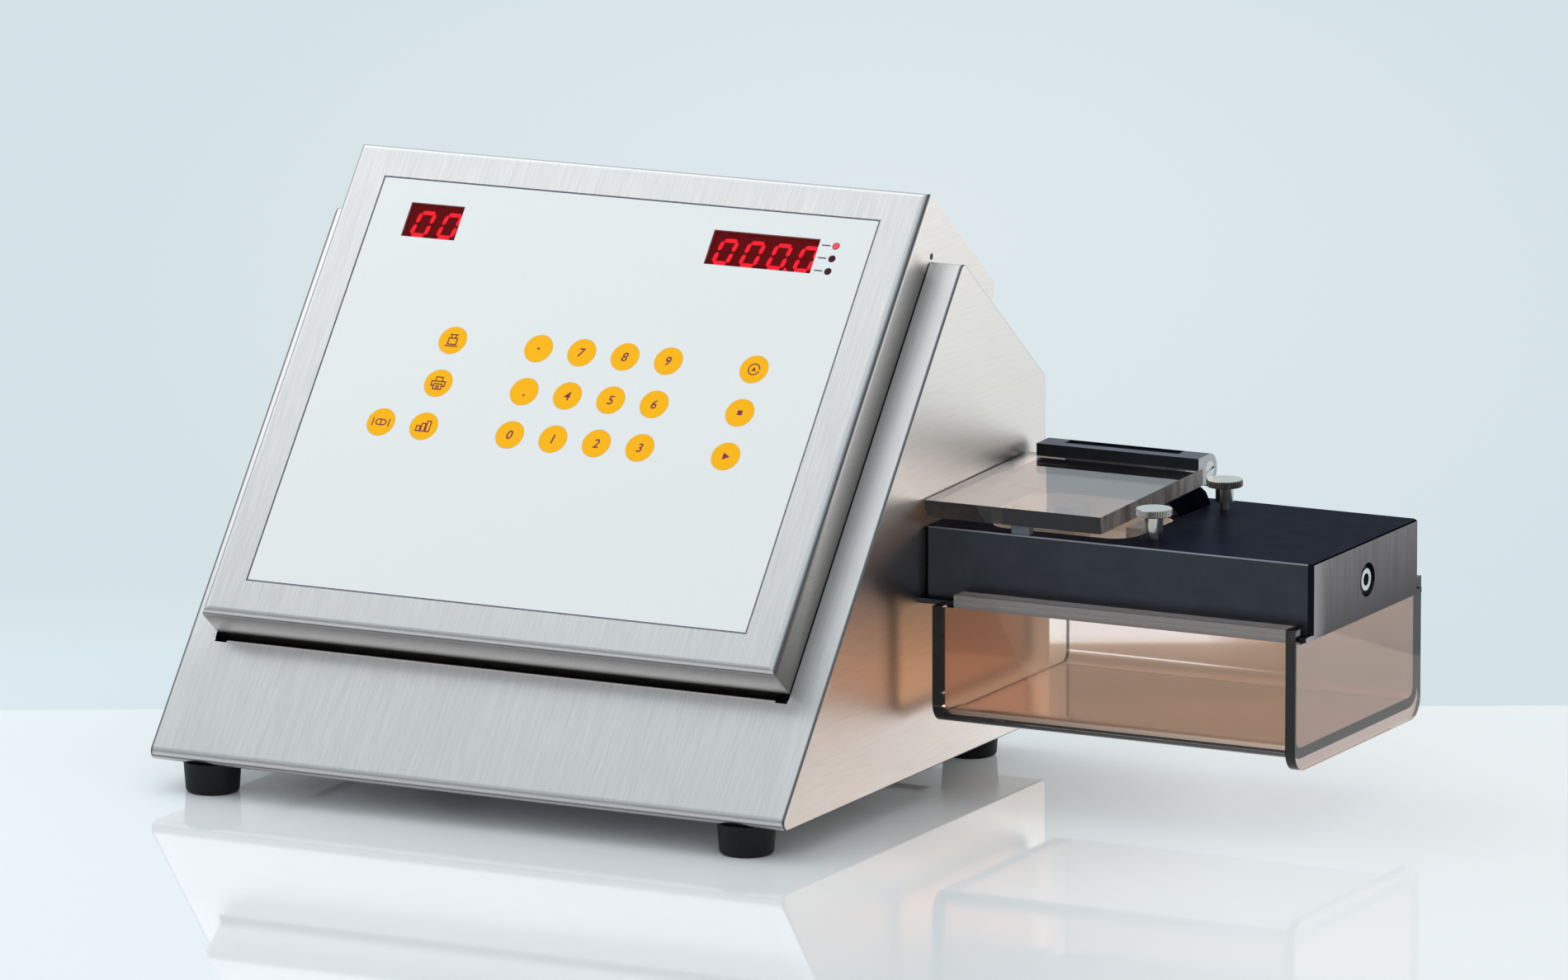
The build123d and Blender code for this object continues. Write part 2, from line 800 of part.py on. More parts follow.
def make_flap_plate():
    plate = block(flap_left, flap_right, -flap_reach, -bar_front - bar_plate_gap,
                  flap_bottom_offset, flap_top_above_hinge)
    step = flap_bottom_offset + flap_rebate_height
    plate -= block(flap_left - over, flap_right + over, -flap_reach - over, -flap_reach + flap_rebate,
                   flap_bottom_offset - over, step)
    plate -= block(flap_left - over, flap_left + flap_rebate, -flap_reach - over, 0,
                   flap_bottom_offset - over, step)
    return flap_place(plate)


def make_hinge_bar():
    bar = along_x(0, 0, barrel_radius, bar_left, flap_right)
    bar += block(bar_left, flap_right, -bar_front, 0, flap_bottom_offset, barrel_radius)
    bar += block(bar_left, flap_right, -bar_front - lip_reach, -bar_front, flap_top_above_hinge, barrel_radius)
    reach = barrel_radius + over
    strip_run = reach / sin(radians(bar_strip_angle)) * cos(radians(bar_strip_angle))
    bar -= block(knuckle_left, knuckle_right, -bar_front + bar_web, reach, -reach, 0)
    bar -= along_x(0, 0, knuckle_radius + knuckle_turn_gap, knuckle_left, knuckle_right)
    bar -= block(knuckle_left, knuckle_right, -bar_front + bar_slot_wall, bar_strip_front, 0, reach)
    bar -= side_profile([(0, 0), (strip_run, reach), (reach, reach), (reach, 0)], knuckle_left, knuckle_right)
    bar -= along_x(0, 0, pin_radius, bar_left - over, flap_right + over)
    bar -= along_x(0, 0, pin_head_radius + pin_head_gap, flap_right - pin_head_height, flap_right + over)
    return flap_place(bar)


def make_hinge_pin():
    pin = along_x(0, 0, pin_radius, bar_left + pin_end_gap, flap_right - pin_head_height)
    head = along_x(0, 0, pin_head_radius, flap_right - pin_head_height, flap_right)
    slot = Rot(pin_slot_angle, 0, 0) * block(flap_right - pin_slot_depth, flap_right + over,
                                             -pin_head_radius - over, pin_head_radius + over,
                                             -pin_slot_width / 2, pin_slot_width / 2)
    return flap_place(pin + head - slot)


def make_hinge_base():
    front = pocket_rear + base_front_inset
    foot_end = block_rear - base_foot_rear
    rear_low = (hinge_y - base_rear_low + over, block_top + base_rear_rise)
    rear_high = (hinge_y - base_rear_low, flap_under(hinge_y - base_rear_high) - base_flap_gap)
    body = side_profile([(front, block_top), (foot_end, block_top), rear_low, rear_high,
                         (front, flap_under(front) - base_flap_gap)], bar_left, flap_right + base_end_overhang)
    top = hinge_z
    end = flap_right + base_end_overhang
    lean = (top - block_top) / sin(radians(base_end_angle)) * cos(radians(base_end_angle))
    wedge = make_face(Polyline((end, block_top), (end + over, block_top), (end + over, top),
                               (end - lean, top), close=True))
    body -= extrude(Plane.XZ.offset(-block_rear) * wedge, block_rear - block_front)
    left = knuckle_left + knuckle_side_gap
    right = knuckle_right - knuckle_side_gap
    arm_foot = foot_end - knuckle_radius
    arm = side_profile([(arm_foot, block_top), (block_rear - block_top_chamfer, block_top),
                        (hinge_y + knuckle_radius, hinge_z), (hinge_y - knuckle_radius, hinge_z),
                        (hinge_y - knuckle_radius, block_top + base_rear_rise),
                        (arm_foot, block_top + base_rear_rise)], left, right)
    arm += along_x(hinge_y, hinge_z, knuckle_radius, left, right)
    body += arm
    return body - along_x(hinge_y, hinge_z, pin_radius + pin_fit, left - over, right + over)


def make_flap_rest():
    x0 = flap_left + rest_centre - rest_width / 2
    y0 = block_front + block_top_chamfer + rest_front_inset
    y1 = y0 + rest_depth
    return side_profile([(y0, block_top), (y1, block_top), (y1, flap_under(y1) - rest_gap),
                         (y0, flap_under(y0) - rest_gap)], x0, x0 + rest_width)


# Thumbscrews: knurled head, collar, neck and thread in one turned piece
def make_thumbscrew(side):
    low = block_top + thumb_neck_height
    collar_top = low + thumb_collar_height
    points = []
    for index in range(2 * thumb_teeth):
        radius = thumb_head_radius - (index % 2) * thumb_tooth_depth
        angle = index * pi / thumb_teeth
        points.append((radius * cos(angle), radius * sin(angle)))
    outline = make_face(Polyline(*points, close=True))
    head = extrude(Pos(0, 0, collar_top) * outline, thumb_head_height)
    bevel = make_face(Polyline((0, collar_top), (thumb_head_radius - thumb_bevel, collar_top),
                               (thumb_head_radius, collar_top + thumb_bevel),
                               (thumb_head_radius, collar_top + thumb_head_height - thumb_bevel),
                               (thumb_head_radius - thumb_bevel, collar_top + thumb_head_height),
                               (0, collar_top + thumb_head_height), close=True))
    head = head & revolve(Plane.XZ * bevel, Axis.Z)
    body = head + upright(0, 0, thumb_collar_radius, low, collar_top)
    body += upright(0, 0, thumb_neck_radius, block_top - thumb_thread_reach, low)
    return Pos(thumb_line, block_middle + side * thumb_spread, 0) * body


# Drawer: bent channel with an inner end, an end panel and two hanging rails
def channel_outline(inset, bottom, top, corner):
    front = drawer_front + inset
    rear = drawer_rear - inset
    face = make_face(Polyline((front, bottom), (rear, bottom), (rear, top), (front, top), close=True))
    return fillet(face.vertices().sort_by(Axis.Y)[:2], corner)


def make_drawer_tray():
    outer = channel_outline(0, channel_bottom, channel_top, channel_corner)
    inner = channel_outline(acrylic, channel_bottom + acrylic, channel_top + over, channel_corner - acrylic)
    tray = extrude(Plane.YZ.offset(drawer_left) * outer, end_panel_left - drawer_left)
    tray -= extrude(Plane.YZ.offset(drawer_left + acrylic) * inner, end_panel_left - drawer_left)
    return tray - block(drawer_left - over, drawer_left + acrylic + over, block_middle - notch_half,
                        block_middle + notch_half, ledge_bottom - ledge_side_gap, channel_top + over)


def make_drawer_front_panel():
    outline = channel_outline(0, channel_bottom - end_panel_drop, rail_top, end_panel_corner)
    panel = extrude(Plane.YZ.offset(end_panel_left) * outline, acrylic)
    return panel - block(end_panel_left - over, drawer_right + over, block_middle - notch_half,
                         block_middle + notch_half, ledge_bottom - notch_drop, rail_top + over)


def make_drawer_rails():
    left = drawer_left + rail_left_inset
    shelf = block_bottom + rail_running_gap
    lip = block_front - rail_block_gap - drawer_front
    rails = []
    for wall, inward in ((drawer_front, 1), (drawer_rear, -1)):
        points = [(wall, channel_top), (wall + inward * acrylic, channel_top), (wall + inward * acrylic, shelf),
                  (wall + inward * lip, shelf), (wall + inward * lip, rail_top), (wall, rail_top)]
        rails.append(side_profile(points, left, end_panel_left))
    return rails


# Jaw drive: two plates, guide rods, screw, carriage and motor
def make_motor_plate():
    low = screw_axis_y - guide_spread - motor_plate_margin
    high = screw_axis_y + guide_spread + motor_plate_margin
    right = motor_plate_x + plate_thickness
    plate = block(motor_plate_x, right, low, high, floor_top, screw_axis_z + motor_plate_margin)
    plate += block(right, right + plate_foot, low, high, floor_top, floor_top + plate_foot_height)
    plate -= along_x(screw_axis_y, screw_axis_z, shaft_radius + rod_hole_gap,
                     motor_plate_x - over, right + over)
    return cut_all(plate, [along_x(screw_axis_y + side * guide_spread, screw_axis_z, guide_radius + slide_fit,
                                   motor_plate_x - over, right + over) for side in (-1, 1)])


def make_wall_plate():
    plate = block(wall_plate_x, wall_inside, block_front + wall_plate_front, block_rear - wall_plate_rear,
                  floor_top, block_top)
    plate -= panel_block(wall_plate_x - over, wall_inside + over, 0, slope_length,
                         -box_sunk - wall_plate_box_gap, over)
    tools = [along_x(jaw_y, rod_z, rod_radius + rod_hole_gap, wall_plate_x - over, wall_inside + over)]
    tools.append(along_x(screw_axis_y, screw_axis_z, journal_radius + slide_fit,
                         wall_plate_x - over, wall_inside + over))
    tools += [along_x(screw_axis_y + side * guide_spread, screw_axis_z, guide_radius + slide_fit,
                      wall_plate_x - over, wall_inside + over) for side in (-1, 1)]
    tools += [along_x(y, z, bolt_radius + bolt_gap, wall_plate_x - over, wall_inside + over)
              for y, z in bolt_places]
    return cut_all(plate, tools)


def make_guide_rods():
    return [along_x(screw_axis_y + side * guide_spread, screw_axis_z, guide_radius, motor_plate_x, wall_inside)
            for side in (-1, 1)]


def make_lead_screw():
    end = wall_plate_x - over
    screw = along_x(screw_axis_y, screw_axis_z, journal_radius, coupling_left + coupling_length / 2, coupling_right)
    screw += along_x(screw_axis_y, screw_axis_z, lead_radius, coupling_right, end)
    return screw + along_x(screw_axis_y, screw_axis_z, journal_radius, end, wall_inside - over)


def make_shaft_coupling():
    sleeve = along_x(screw_axis_y, screw_axis_z, coupling_radius, coupling_left, coupling_right)
    sleeve -= along_x(screw_axis_y, screw_axis_z, journal_radius,
                      coupling_left + coupling_length / 2, coupling_right + over)
    shaft = along_x(screw_axis_y, screw_axis_z, shaft_radius,
                    motor_plate_x - motor_bore_depth + over, coupling_left)
    return sleeve + shaft


def make_drive_motor():
    body = along_x(screw_axis_y, screw_axis_z, motor_radius, motor_plate_x - motor_length, motor_plate_x)
    body = chamfer(body.edges().sort_by(Axis.X)[0], over)
    return body - along_x(screw_axis_y, screw_axis_z, shaft_radius + shaft_gap,
                          motor_plate_x - motor_bore_depth, motor_plate_x + over)


def make_jaw_carriage():
    x0 = carriage_left
    x1 = carriage_left + carriage_length
    body = block(x0, x1, screw_axis_y - guide_spread, screw_axis_y + guide_spread,
                 screw_axis_z - carriage_boss_radius, screw_axis_z + carriage_boss_radius)
    body += along_x(screw_axis_y - guide_spread, screw_axis_z, carriage_boss_radius, x0, x1)
    body += along_x(screw_axis_y + guide_spread, screw_axis_z, carriage_boss_radius, x0, x1)
    body += block(x0, x1, jaw_y - arm_top_radius, jaw_y + arm_top_radius, screw_axis_z, rod_z)
    body += along_x(jaw_y, rod_z, arm_top_radius, x0, x1)
    tools = [along_x(screw_axis_y, screw_axis_z, lead_radius + slide_fit, x0 - over, x1 + over)]
    tools += [along_x(screw_axis_y + side * guide_spread, screw_axis_z, guide_radius + slide_fit,
                      x0 - over, x1 + over) for side in (-1, 1)]
    tools.append(along_x(jaw_y, rod_z, rod_radius, x0 - over, x1 + over))
    return cut_all(body, tools)


# Electrics
def make_power_supply():
    case = block(supply_left, supply_left + supply_length, supply_rear - supply_width, supply_rear,
                 floor_top, floor_top + supply_height)
    return chamfer(case.edges().filter_by(Axis.Z), over)


def make_main_board():
    low = floor_top + main_board_rise
    top = low + board_thickness
    pieces = [block(main_board_left, main_board_right, main_board_front, main_board_rear, low, top)]
    pieces += [upright(x, y, pillar_radius, floor_top, low)
               for x in (main_board_left + pillar_radius, main_board_right - pillar_radius)
               for y in (main_board_front + pillar_radius, main_board_rear - pillar_radius)]
    pieces.append(block(port_x - port_width / 2, port_x + port_width / 2, main_board_rear - port_depth,
                        housing_depth + port_proud, top, top + port_height))
    shell = Pos(port_x, top + port_height / 2) * RectangleRounded(
        port_shell_width, port_shell_height, port_shell_corner)
    pieces.append(extrude(Plane.XZ.offset(-housing_depth - port_proud) * shell, -port_shell_proud))
    pieces += [block(x, x + chip_size, main_board_front + chip_size, main_board_front + 2 * chip_size,
                     top, top + chip_height)
               for x in (main_board_left + chip_size, main_board_right - 2 * chip_size)]
    return fuse_all(pieces)


def make_mains_inlet():
    middle = inlet_low + inlet_height / 2
    face = panel_face_y + inlet_flange
    flange = extrude(Plane.XZ.offset(-face) * Pos(inlet_x, middle) * RectangleRounded(
        inlet_width, inlet_height, inlet_corner), inlet_flange)
    body = flange + block(inlet_x - inlet_body_width / 2, inlet_x + inlet_body_width / 2,
                          face - inlet_body_depth, panel_face_y,
                          middle - inlet_body_height / 2, middle + inlet_body_height / 2)
    socket_low = inlet_low + socket_rise
    body -= block(inlet_x - socket_width / 2, inlet_x + socket_width / 2, face - socket_depth, face + over,
                  socket_low, socket_low + socket_height)
    socket_middle = socket_low + socket_height / 2
    blades = [(inlet_x, socket_middle + blade_height), (inlet_x - blade_pitch / 2, socket_middle - blade_drop),
              (inlet_x + blade_pitch / 2, socket_middle - blade_drop)]
    body = fuse_all([body] + [block(x - blade_width / 2, x + blade_width / 2, face - socket_depth,
                                    face - socket_depth + blade_reach, z - blade_height / 2,
                                    z + blade_height / 2) for x, z in blades])
    half = rocker_width / 2 + rocker_side_gap
    tall = rocker_height / 2 + rocker_end_gap
    body -= block(inlet_x - half, inlet_x + half, face - rocker_well_depth, face + over,
                  rocker_z - tall, rocker_z + tall)
    reach = rocker_width / 2 + rocker_pin_reach + rocker_side_gap
    return body - along_x(rocker_y, rocker_z, rocker_pin_radius + rocker_pin_fit, inlet_x - reach, inlet_x + reach)


def make_power_rocker():
    half = rocker_height / 2
    points = [(-rocker_back, -half), (rocker_face_end, -half), (rocker_face_middle, 0),
              (rocker_face_end, half), (-rocker_back, half)]
    rocker = side_profile(points, inlet_x - rocker_width / 2, inlet_x + rocker_width / 2)
    reach = rocker_width / 2 + rocker_pin_reach
    rocker += along_x(0, 0, rocker_pin_radius, inlet_x - reach, inlet_x + reach)
    return Pos(0, rocker_y, rocker_z) * Rot(rocker_tilt, 0, 0) * rocker


pieces = {
    "housing_shell": make_housing_shell(),
    "base_plate": make_base_plate(),
    "rear_panel": make_rear_panel(),
    "feet": make_feet(),
    "case_screws": make_case_screws(),
    "control_box_shell": make_control_box_shell(),
    "control_box_cover": make_control_box_cover(),
    "keypad_overlay": make_keypad_overlay(),
    "keypad_membrane": make_keypad_membrane(),
    "display_windows": make_display_windows(),
    "unit_lights": make_unit_lights(),
    "display_board": make_display_board(),
    "main_board": make_main_board(),
    "power_supply": make_power_supply(),
    "mains_inlet": make_mains_inlet(),
    "power_rocker": make_power_rocker(),
    "station_block": make_station_block(),
    "drawer_ledge": make_drawer_ledge(),
    "chamber_tray": make_chamber_tray(),
    "fixed_jaw": make_fixed_jaw(),
    "moving_jaw": make_moving_jaw(),
    "load_cell": make_load_cell(),
    "end_bush": make_end_bush(),
    "station_bolts": make_station_bolts(),
    "flap_plate": make_flap_plate(),
    "hinge_bar": make_hinge_bar(),
    "hinge_pin": make_hinge_pin(),
    "hinge_base": make_hinge_base(),
    "flap_rest": make_flap_rest(),
    "near_thumbscrew": make_thumbscrew(-1),
    "far_thumbscrew": make_thumbscrew(1),
    "drawer_tray": make_drawer_tray(),
    "drawer_front_panel": make_drawer_front_panel(),
    "drawer_rails": make_drawer_rails(),
    "drive_motor": make_drive_motor(),
    "motor_plate": make_motor_plate(),
    "wall_plate": make_wall_plate(),
    "guide_rods": make_guide_rods(),
    "lead_screw": make_lead_screw(),
    "shaft_coupling": make_shaft_coupling(),
    "jaw_carriage": make_jaw_carriage(),
}
pieces.update({name: make_key(x, s) for name, (x, s) in key_places.items()})

# Origin under the middle of the whole object
solids = [solid for shape in pieces.values() for part in (shape if isinstance(shape, list) else [shape])
          for solid in part.solids()]
boxes = [solid.bounding_box() for solid in solids]
shift_x = -(min(box.min.X for box in boxes) + max(box.max.X for box in boxes)) / 2
shift_y = -(min(box.min.Y for box in boxes) + max(box.max.Y for box in boxes)) / 2
to_origin = Location((shift_x, shift_y, 0))

os.makedirs("parts", exist_ok=True)
for name, shape in pieces.items():
    parts = shape if isinstance(shape, list) else [shape]
    moved = [solid.moved(to_origin) for part in parts for solid in part.solids()]
    export_step(Compound(children=moved) if len(moved) > 1 else moved[0], f"parts/{name}.step")
print("pieces", len(pieces), "solids", len(solids), "shift", round(shift_x, 3), round(shift_y, 3))
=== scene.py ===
# %% [markdown]
# This lesson dresses a tablet hardness tester: a stainless wedge with a keypad, and a black
# test station on its right side. The solids are finished in another program, so Blender
# loads them as a frame that stays where it is, and adds materials, printing and light.

# %% Load the frame
import math

import bmesh
import bpy
from mathutils import Matrix, Vector


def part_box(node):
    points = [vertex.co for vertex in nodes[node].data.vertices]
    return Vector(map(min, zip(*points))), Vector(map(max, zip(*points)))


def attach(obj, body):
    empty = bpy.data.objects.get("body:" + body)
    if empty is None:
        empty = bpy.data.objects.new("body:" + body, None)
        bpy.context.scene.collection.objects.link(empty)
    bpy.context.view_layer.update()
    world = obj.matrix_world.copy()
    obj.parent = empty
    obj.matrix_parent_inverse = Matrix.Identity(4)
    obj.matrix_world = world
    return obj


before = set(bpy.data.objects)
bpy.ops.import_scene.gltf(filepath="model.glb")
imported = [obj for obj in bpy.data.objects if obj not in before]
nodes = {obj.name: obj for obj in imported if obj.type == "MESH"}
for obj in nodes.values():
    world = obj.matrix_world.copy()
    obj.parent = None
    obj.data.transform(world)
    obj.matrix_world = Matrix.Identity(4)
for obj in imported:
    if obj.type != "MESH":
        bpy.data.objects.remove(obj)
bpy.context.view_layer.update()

# %% [markdown]
# The makers' drawing is in millimetres, with its zero at the front bottom corner of the
# wedge, below the middle. The frame is in metres with its zero under the middle of the
# whole object. Two helpers turn drawing places into frame places: one for the room, and one
# for the sloping panel, where s runs up the slope and n stands off it.

# %% From drawing places to frame places
MM = 0.001
drawing_shift = Vector((-98.1, -138.426, 0.0))
foot_height = 14.5
slope = math.radians(51.44)
up_slope = Vector((0, math.cos(slope), math.sin(slope)))
off_slope = Vector((0, -math.sin(slope), math.cos(slope)))


def room_place(x, y, z):
    return (Vector((x, y, z)) + drawing_shift) * MM


def panel_place(x, s, n):
    place = Vector((x, 0, foot_height)) + up_slope * s + off_slope * n
    return (place + drawing_shift) * MM


print("panel corner", panel_place(0, 0, 0))

# %% [markdown]
# The camera stands 5.5 m away with a long lens, which is how such product pictures are
# taken: the sides stay nearly parallel. Its direction was worked out from the edges of the
# wedge. Azimuth is how far it stands to the right, and elevation how far it looks down.

# %% Camera
camera_azimuth = math.radians(27.49)
camera_elevation = math.radians(11.56)
camera_roll = math.radians(-0.16)
camera_distance = 5515.0
camera_target = (167.79, 0.0, 173.2)
camera_reach = 100.0
sensor_width = 36.0
focal_length = 283.24

level_right = Vector((math.cos(camera_azimuth), math.sin(camera_azimuth), 0))
level_back = Vector((-math.sin(camera_azimuth), math.cos(camera_azimuth), 0))
back = Vector((math.sin(camera_azimuth) * math.cos(camera_elevation),
               -math.cos(camera_azimuth) * math.cos(camera_elevation),
               math.sin(camera_elevation)))
up = back.cross(level_right)
rolled_right = level_right * math.cos(camera_roll) + up * math.sin(camera_roll)
rolled_up = up * math.cos(camera_roll) - level_right * math.sin(camera_roll)

camera_data = bpy.data.cameras.new("camera")
camera_data.lens = focal_length
camera_data.sensor_width = sensor_width
camera_data.clip_end = camera_reach
camera = bpy.data.objects.new("camera", camera_data)
bpy.context.collection.objects.link(camera)
camera_place = room_place(*camera_target) + back * camera_distance * MM
turn = Matrix((rolled_right, rolled_up, back)).transposed()
camera.matrix_world = Matrix.Translation(camera_place) @ turn.to_4x4()
bpy.context.scene.camera = camera
print("camera at", camera_place)

# %% [markdown]
# Every finish here is a small tree of nodes. These helpers keep the trees readable: Tree
# adds nodes and does sums with them, and Finish is the tree of a material. A test such as
# above gives one where it holds and zero elsewhere, so tests multiply into masks. Noise
# stays mostly within a narrow span, which spread maps onto the range that is wanted.

# %% Helpers for materials
noise_span = (0.3, 0.7)
halfway = 0.5
mix_sockets = {"FLOAT": (2, 3, 0), "VECTOR": (4, 5, 1), "RGBA": (6, 7, 2)}
measures = ("DOT_PRODUCT", "DISTANCE", "LENGTH")


def linear(red, green, blue):
    """Turns the 0 to 255 values of a screen colour into the light values of a shader."""
    def one(value):
        share = value / 255
        return share / 12.92 if share <= 0.04045 else ((share + 0.055) / 1.055) ** 2.4
    return (one(red), one(green), one(blue), 1.0)


def dimmed(colour, share):
    return tuple(value * share for value in colour[:3]) + (1.0,)


class Tree:
    """Adds nodes to a tree. Where a sum asks for a value, a socket or a fixed one will do."""

    def __init__(self, tree):
        self.tree = tree

    def node(self, kind, **settings):
        node = self.tree.nodes.new(kind)
        for key, value in settings.items():
            setattr(node, key, value)
        return node

    def link(self, source, target):
        self.tree.links.new(source, target)

    def feed(self, value, socket):
        if isinstance(value, bpy.types.NodeSocket):
            self.link(value, socket)
        else:
            socket.default_value = value

    def math(self, operation, *values):
        node = self.node("ShaderNodeMath", operation=operation)
        for value, socket in zip(values, node.inputs):
            self.feed(value, socket)
        return node.outputs[0]

    def product(self, first, *others):
        for other in others:
            first = self.math("MULTIPLY", first, other)
        return first

    def above(self, value, limit):
        return self.math("GREATER_THAN", value, limit)

    def below(self, value, limit):
        return self.math("LESS_THAN", value, limit)

    def size(self, value):
        return self.math("ABSOLUTE", value)

    def vector(self, operation, *values):
        node = self.node("ShaderNodeVectorMath", operation=operation)
        for value, socket in zip(values, node.inputs):
            self.feed(value, socket)
        return node.outputs["Value" if operation in measures else "Vector"]

    def along(self, vector, way):
        """How far a vector reaches along a fixed way."""
        return self.vector("DOT_PRODUCT", vector, way)

    def parts(self, vector):
        """The X, Y and Z of a vector, by name."""
        node = self.node("ShaderNodeSeparateXYZ")
        self.link(vector, node.inputs[0])
        return node.outputs

    def ray(self, kind):
        """One for rays of a kind, and zero for all others."""
        return self.node("ShaderNodeLightPath").outputs["Is %s Ray" % kind]

    def shown_ray(self):
        """One where the camera, a mirror or a clear piece looks, and zero for soft light."""
        seen = self.math("MAXIMUM", self.ray("Camera"), self.ray("Glossy"))
        return self.math("MAXIMUM", seen, self.ray("Transmission"))

    def band(self, value, low, high, out_low, out_high):
        """Maps a value's range onto another range."""
        node = self.node("ShaderNodeMapRange")
        for name, number in (("From Min", low), ("From Max", high),
                             ("To Min", out_low), ("To Max", out_high)):
            node.inputs[name].default_value = number
        self.link(value, node.inputs["Value"])
        return node.outputs["Result"]

    def spread(self, noise, out_low, out_high):
        return self.band(noise, *noise_span, out_low, out_high)

    def mix(self, share, first, second, kind="RGBA"):
        """Mixes two colours, numbers or vectors."""
        node = self.node("ShaderNodeMix", data_type=kind)
        first_socket, second_socket, output = mix_sockets[kind]
        self.link(share, node.inputs[0])
        self.feed(first, node.inputs[first_socket])
        self.feed(second, node.inputs[second_socket])
        return node.outputs[output]

    def surface(self, share, first, second, output="Material Output"):
        """Puts a mix of two shaders on the surface."""
        node = self.node("ShaderNodeMixShader")
        for source, target in zip((share, first, second), node.inputs):
            self.link(source, target)
        self.link(node.outputs[0], self.tree.nodes[output].inputs["Surface"])


class Finish(Tree):
    def __init__(self, name, colour, metallic=0.0, roughness=0.5, **sockets):
        self.material = bpy.data.materials.new(name)
        self.material.use_nodes = True
        super().__init__(self.material.node_tree)
        self.shader = self.tree.nodes["Principled BSDF"]
        sockets.update(Base_Color=colour, Metallic=metallic, Roughness=roughness)
        for socket, value in sockets.items():
            self.shader.inputs[socket.replace("_", " ")].default_value = value

    def place(self):
        return self.node("ShaderNodeTexCoord").outputs["Object"]

    def own_normal(self):
        """The way a face looks, which turns with the piece when a joint moves it."""
        return self.node("ShaderNodeTexCoord").outputs["Normal"]

    def turned(self, vector, angle=0.0, scale=(1, 1, 1)):
        """Turns a place about X by an angle, and then stretches it."""
        turn_node = self.node("ShaderNodeVectorRotate", rotation_type="X_AXIS")
        turn_node.inputs["Angle"].default_value = angle
        self.link(vector, turn_node.inputs["Vector"])
        return self.vector("MULTIPLY", turn_node.outputs[0], scale)

    def noise(self, vector, scale=1.0, detail=2.0):
        node = self.node("ShaderNodeTexNoise")
        node.inputs["Scale"].default_value = scale
        node.inputs["Detail"].default_value = detail
        self.link(vector, node.inputs["Vector"])
        return node.outputs["Fac"]

    def bump(self, height, strength, distance):
        node = self.node("ShaderNodeBump")
        node.inputs["Strength"].default_value = strength
        node.inputs["Distance"].default_value = distance
        self.link(height, node.inputs["Height"])
        self.put("Normal", node.outputs[0])

    def put(self, name, socket):
        self.link(socket, self.shader.inputs[name])

    def fed(self, name):
        """What already feeds one of the shader's sockets."""
        return self.shader.inputs[name].links[0].from_socket

    def colour(self, socket):
        self.put("Base Color", socket)

    def roughness(self, socket):
        self.put("Roughness", socket)


def dress(finish, *names):
    for name in names:
        data = nodes[name].data
        data.materials.clear()
        data.materials.append(finish.material)


print("material helpers ready")

# %% [markdown]
# The wedge and the control box are folded from stainless sheet, and light and shade are
# painted on it by place. A bend gets a painted highlight on its first part and painted shade
# on its outer part. The slope gets a painted pale strip beside the box, with a painted dark
# line along its side edge. The box's sides get painted shade near the slope and low down,
# and a painted glow on the box's lower side stands for light that the slope throws up. A
# black spot at the ridge is painted shade where a relief hole would be. Each function here
# gives one effect as a share from zero to one.

# %% Where the sheet is brighter or darker
flat_span = (0.9, 0.985)
bright_span = (0.8, 0.95)
dark_span = (0.6, 0.9)
bright_most = 0.6
front_facing = 0.6
under_facing = -0.9
edge_middle = room_place(0, 0, 0).x
strip_climb = (50 * MM, 110 * MM)
strip_across = (151 * MM, 159 * MM)
strip_shares = (0.1, 0.7)
line_across = (163.5 * MM, 164.1 * MM)
line_most = 0.9
joint_stand = (0.0, 18 * MM)
joint_climb = (70 * MM, 150 * MM)
joint_most = 0.9
low_most = 0.75
ridge_climb = (287 * MM, 292 * MM)
bounce_rise = (0.5 * MM, 4 * MM)
bounce_fall = (6 * MM, 17 * MM)
relief_spot = room_place(147.95, 185.6, 247.0)
relief_radius = 1.6 * MM


def reach(finish, place, way):
    """How far a place lies from the slope's foot along a way."""
    return finish.math("SUBTRACT", finish.along(place, way), panel_place(0, 0, 0).dot(way))


def painted_bend_shares(finish, normal):
    """Where the sheet is bent: a painted highlight on a bend's first part, painted shade outside.
    """
    flattest = 0.0
    for way in ((1, 0, 0), (0, 1, 0), (0, 0, 1), up_slope, off_slope):
        flattest = finish.math("MAXIMUM", finish.size(finish.along(normal, way)), flattest)
    bend = finish.band(flattest, *flat_span, 1.0, 0.0)
    forward = finish.along(normal, off_slope)
    return (finish.product(bend, finish.band(forward, *bright_span, 0.0, bright_most)),
            finish.product(bend, finish.band(forward, *dark_span, 1.0, 0.0)))


def painted_edge_shares(finish, place, normal):
    """On the slope, a painted pale strip beside the box and painted shade along the side edge."""
    from_middle = finish.math("SUBTRACT", finish.parts(place)["X"], edge_middle)
    across = finish.size(from_middle)
    in_front = finish.above(finish.along(normal, off_slope), front_facing)
    beside_box = finish.band(reach(finish, place, up_slope), *strip_climb, *strip_shares)
    strip_share = finish.band(across, *strip_across, 0.0, 1.0)
    return (finish.product(beside_box, strip_share, in_front),
            finish.product(finish.band(across, *line_across, 0.0, line_most), in_front))


def joint_shade_share(finish, place, side):
    """Painted shade on the box's sides, close to the slope and low down."""
    climbs = reach(finish, place, up_slope)
    near = finish.band(reach(finish, place, off_slope), *joint_stand, joint_most, 0.0)
    low = finish.band(climbs, *joint_climb, low_most, 0.0)
    below_ridge = finish.band(climbs, *ridge_climb, 1.0, 0.0)
    return finish.product(finish.math("MAXIMUM", near, low), below_ridge, side)


def painted_bounce_share(finish, place, normal):
    """Painted bounce light: a glow on the box's lower side, strongest near the slope."""
    stands = reach(finish, place, off_slope)
    underneath = finish.below(finish.along(normal, up_slope), under_facing)
    return finish.product(underneath, finish.band(stands, *bounce_rise, 0.0, 1.0),
                          finish.band(stands, *bounce_fall, 1.0, 0.0))


